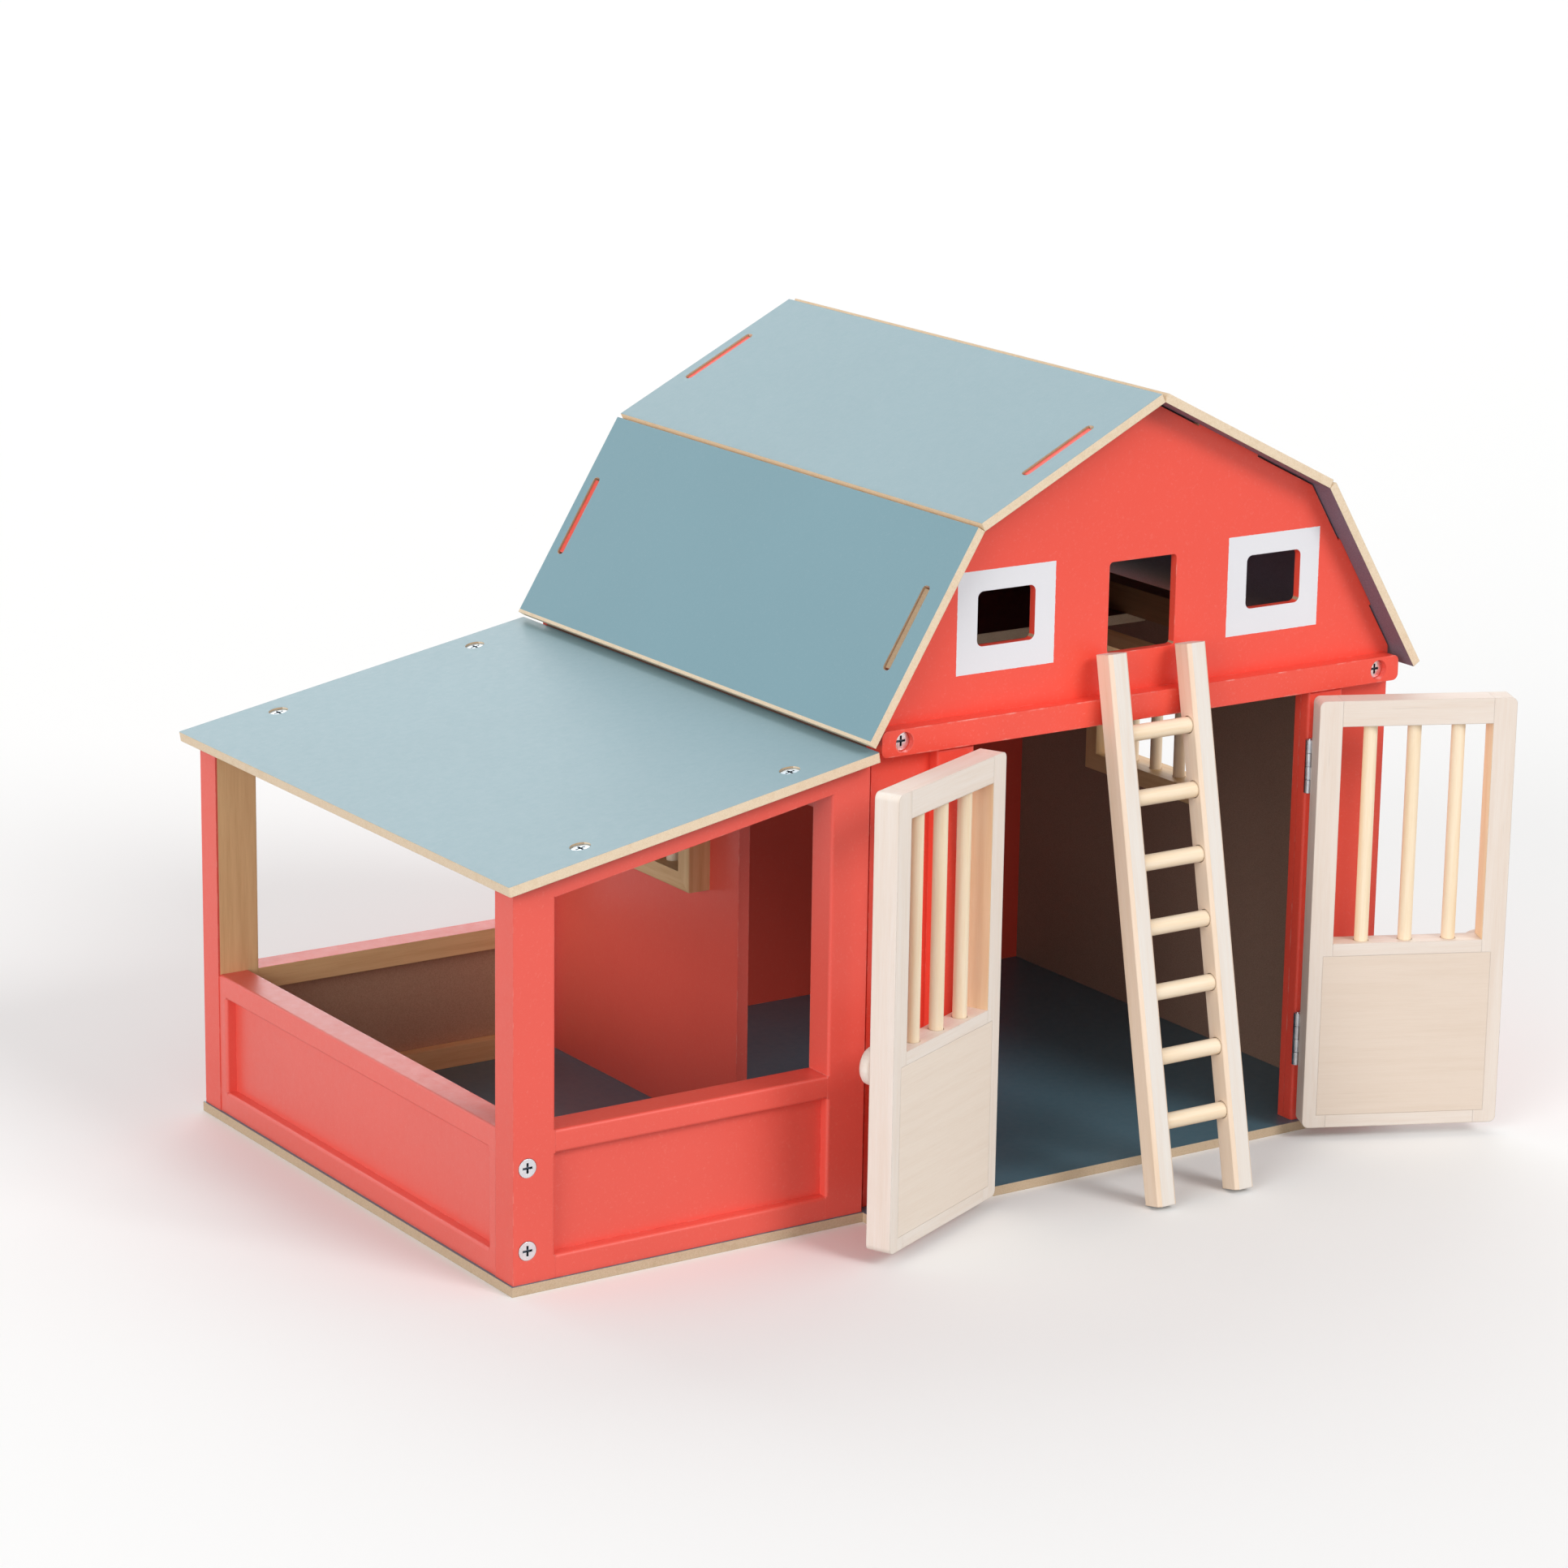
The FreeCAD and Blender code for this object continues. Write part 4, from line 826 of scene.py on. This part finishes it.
for side, swing in DOOR_SWING.items():
    turn = (0, 0, swing)
    wood = DOOR_FRAME[side]
    stiles = [f"{side}_door_{place}_stile" for place in ("hinge", "free")]
    rails = [f"{side}_door_{place}_rail" for place in ("top", "middle", "bottom")]
    panel = f"{side}_door_panel"
    two_toned(f"{side}_door_stile_wood", 2, turn, window_sides(side), *wood, *WARM, *stiles)
    bare_wood(f"{side}_door_rail_wood", 0, turn, *wood, *rails)
    bare_wood(f"{side}_door_panel_wood", 0, turn, *DOOR_PANEL[side], panel, rings=0.03)
    bare_wood(f"{side}_door_dowel", 2, turn, *DOWEL, f"{side}_door_bars")
    bare_wood(f"{side}_knob_wood", 1, turn, *wood, f"{side}_door_knob")

# %% Ladder
LADDER_RUN, LADDER_RISE = 0.0457, 0.226
LADDER_LEAN = (-math.atan2(LADDER_RUN, LADDER_RISE), 0, 0)
LADDER_PALE = (screen(229, 222, 214), screen(224, 210, 196))
LADDER_WARM = (screen(239, 218, 196), screen(230, 204, 176))


def ladder_sides(finish):
    """1 on the ladder's sides, 0 on its front and back."""
    return lies_across(finish, (1, 0, 0))


two_toned("ladder_wood", 2, LADDER_LEAN, ladder_sides, *LADDER_PALE, *LADDER_WARM,
          "ladder_left_stile", "ladder_right_stile")
bare_wood("rung_dowel", 0, LADDER_LEAN, BIRCH, BIRCH_DARK, "ladder_rungs")

# %% [markdown]
# ## Zinc-plated steel
#
# Hinges and screws are zinc-plated: a cool grey metal with faint clouds and fine rolling
# scratches. Metallic is one number all over, so it is set on the shader itself, and only colour,
# roughness and bump get nodes. The cross of a screw is painted dark, a painted shade of its
# recess.
# A second material would need the mesh split, so a screw's finish simply darkens below the face of
# its head.

# %% Steel
SCRATCH_DEPTH = 0.00001
ROLLED_CORNER = 0.0002
HINGE_ZINC = (screen(178, 182, 190), screen(212, 214, 218))
# dark blue-grey for the screws' crosses: painted shade of the recess
CROSS_SHADE = screen(84, 92, 102)


def zinc_plated(name, above_head, bright, sunk_shade, *names):
    """Zinc-plated steel with painted shade below a screw head's face; a hinge has no above_head.
    """
    finish = new_finish(name)
    scratches = spots(finish, 700, 4, along_stick(finish, 2, stretch=12.0))
    clouds = ramp(finish, spots(finish, 180, 4), 0.3, 0.7)
    tint = blended(finish, clouds, *bright)
    if above_head:
        # painted shade in the cross, below the face of the head
        tint = blended(finish, maths(finish, "LESS_THAN", above_head(finish), 0.0), tint, sunk_shade)
    rough = ramp(finish, scratches, 0.3, 0.7, 0.2, 0.36)
    coat = {"colour": tint, "rough": rough, "height": scratches}
    dress(finish, coat, SCRATCH_DEPTH, ROLLED_CORNER)
    finish.node_tree.nodes["Principled BSDF"].inputs["Metallic"].default_value = 1.0
    wear(finish, *names)
    return finish


hinge_parts = ("post_hinge_leaves", "hinge_pins", "door_hinge_leaves")
hinges = [f"{side}_{part}" for side in DOOR_SWING for part in hinge_parts]
steel = zinc_plated("zinc_hinges", None, HINGE_ZINC, CROSS_SHADE, *hinges)

# %% Screws of the lean-to and the beam
LEAN_TO_MIDDLE, CORNER_HEADS = -0.0015, 0.1437
BEAM_HEADS = 0.1453
ROOF_HEADS = 0.24128
SCREW_ZINC = (screen(226, 231, 237), screen(246, 248, 250))
ROOF_ZINC = (screen(186, 197, 205), screen(208, 217, 223))
# a lighter painted shade for the roof screws' crosses
ROOF_CROSS_SHADE = screen(128, 140, 149)


def above_corner_heads(finish):
    """Above 0 on the faces of the corner screws, at both ends of the lean-to."""
    backward = along(finish, place_of(finish), (0, 1, 0))
    off_middle = maths(finish, "SUBTRACT", backward, LEAN_TO_MIDDLE)
    return maths(finish, "SUBTRACT", maths(finish, "ABSOLUTE", off_middle), CORNER_HEADS)


def above_beam_heads(finish):
    """Above 0 on the faces of the beam's screws, which look to the front."""
    return maths(finish, "SUBTRACT", along(finish, place_of(finish), (0, -1, 0)), BEAM_HEADS)


def above_roof_heads(finish):
    """Above 0 on the faces of the lean-to roof's screws, which look along its slope."""
    height = along(finish, place_of(finish), above_roof("lean_to"))
    return maths(finish, "SUBTRACT", height, ROOF_HEADS)


zinc_plated("zinc_corner_screws", above_corner_heads, SCREW_ZINC, CROSS_SHADE, "lean_to_corner_screws")
zinc_plated("zinc_beam_screws", above_beam_heads, SCREW_ZINC, CROSS_SHADE, "beam_screws")
zinc_plated("zinc_roof_screws", above_roof_heads, ROOF_ZINC, ROOF_CROSS_SHADE, "lean_to_roof_screws")

# %% [markdown]
# ## Hinge screws
#
# Two small round-headed screws hold each hinge leaf. One head is enough to model: half its outline
# is spun round the axis, which is how a lathe would turn it, and planes cut the mesh along the
# borders of the cross, so that its faces can be pushed in. A boolean would do it too, but leaves a
# rougher mesh. The finished head is then set down sixteen times, and the ones on a door take the
# door's turn.

# %% Turn a screw head
MM = 0.001
HALF_OUTLINE = [(0, 0.42), (0.7, 0.39), (1.25, 0.25), (1.55, 0.06), (1.6, -0.15), (0, -0.15)]

head = bmesh.new()
corners = [head.verts.new((out * MM, 0, up * MM)) for out, up in HALF_OUTLINE]
lines = [head.edges.new(pair) for pair in zip(corners, corners[1:])]
bmesh.ops.spin(head, geom=corners + lines, cent=(0, 0, 0), axis=(0, 0, 1), angle=math.tau,
               steps=24, use_merge=True)
bmesh.ops.remove_doubles(head, verts=head.verts, dist=0.001 * MM)
bmesh.ops.recalc_face_normals(head, faces=head.faces)
print("turned head with", len(head.faces), "faces")

# %% Sink its cross
CROSS_HALF, CROSS_REACH, CROSS_DEEP = 0.22 * MM, 0.95 * MM, 0.3 * MM
CAP_FROM = 0.2 * MM

for reach in (-CROSS_REACH, -CROSS_HALF, CROSS_HALF, CROSS_REACH):
    for across in ((1, 0, 0), (0, 1, 0)):
        bmesh.ops.bisect_plane(head, geom=[*head.verts, *head.edges, *head.faces],
                               dist=0.0001 * MM, plane_co=Vector(across) * reach, plane_no=across)
cross = []
for face in head.faces:
    middle = face.calc_center_median()
    near, far = sorted((abs(middle.x), abs(middle.y)))
    if middle.z > CAP_FROM and near < CROSS_HALF and far < CROSS_REACH:
        cross.append(face)
pushed = bmesh.ops.extrude_face_region(head, geom=cross)["geom"]
floor_of_cross = [thing for thing in pushed if isinstance(thing, bmesh.types.BMVert)]
bmesh.ops.translate(head, vec=(0, 0, -CROSS_DEEP), verts=floor_of_cross)
one_head = bpy.data.meshes.new("hinge_screw_head")
head.to_mesh(one_head)
head.free()
print("screw head with", len(one_head.polygons), "faces")

# %% Sixteen hinge screws
LEAF_FACE = 0.0014
SCREW_OUT = 0.006
SCREW_LOW, SCREW_HIGH = 0.0047, 0.0207
FIRST_TURN = 0.4

for side, swing in DOOR_SWING.items():
    hand = -1 if side == "left" else 1
    low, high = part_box(f"{side}_post_hinge_leaves")
    heights = (low.z + SCREW_LOW, low.z + SCREW_HIGH, high.z - SCREW_HIGH, high.z - SCREW_LOW)
    axis = Matrix.Translation((hand * HINGE_OUT, -HINGE_FRONT, 0))
    leaves = (("post", "barn", SCREW_OUT, 0), ("door", f"{side}_door", -SCREW_OUT, swing))
    for part, body, out, turn in leaves:
        heads = bmesh.new()
        for number, height in enumerate(heights):
            seat = Matrix.Translation((hand * out, LEAF_FACE, height))
            seat = seat @ Matrix.Rotation(math.radians(90), 4, "X")
            seat = axis @ Matrix.Rotation(turn, 4, "Z") @ seat
            count = len(heads.verts)
            heads.from_mesh(one_head)
            driven = seat @ Matrix.Rotation(FIRST_TURN + number, 4, "Z")
            bmesh.ops.transform(heads, matrix=driven, verts=heads.verts[:][count:])
        name = f"{side}_{part}_hinge_screws"
        screws = bpy.data.objects.new(name, bpy.data.meshes.new(name))
        heads.to_mesh(screws.data)
        heads.free()
        screws.data.materials.append(steel)
        bpy.context.scene.collection.objects.link(screws)
        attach(screws, body)
        print(screws.name, len(screws.data.polygons), "faces on", body)

# %% Done
print("barn dressed")
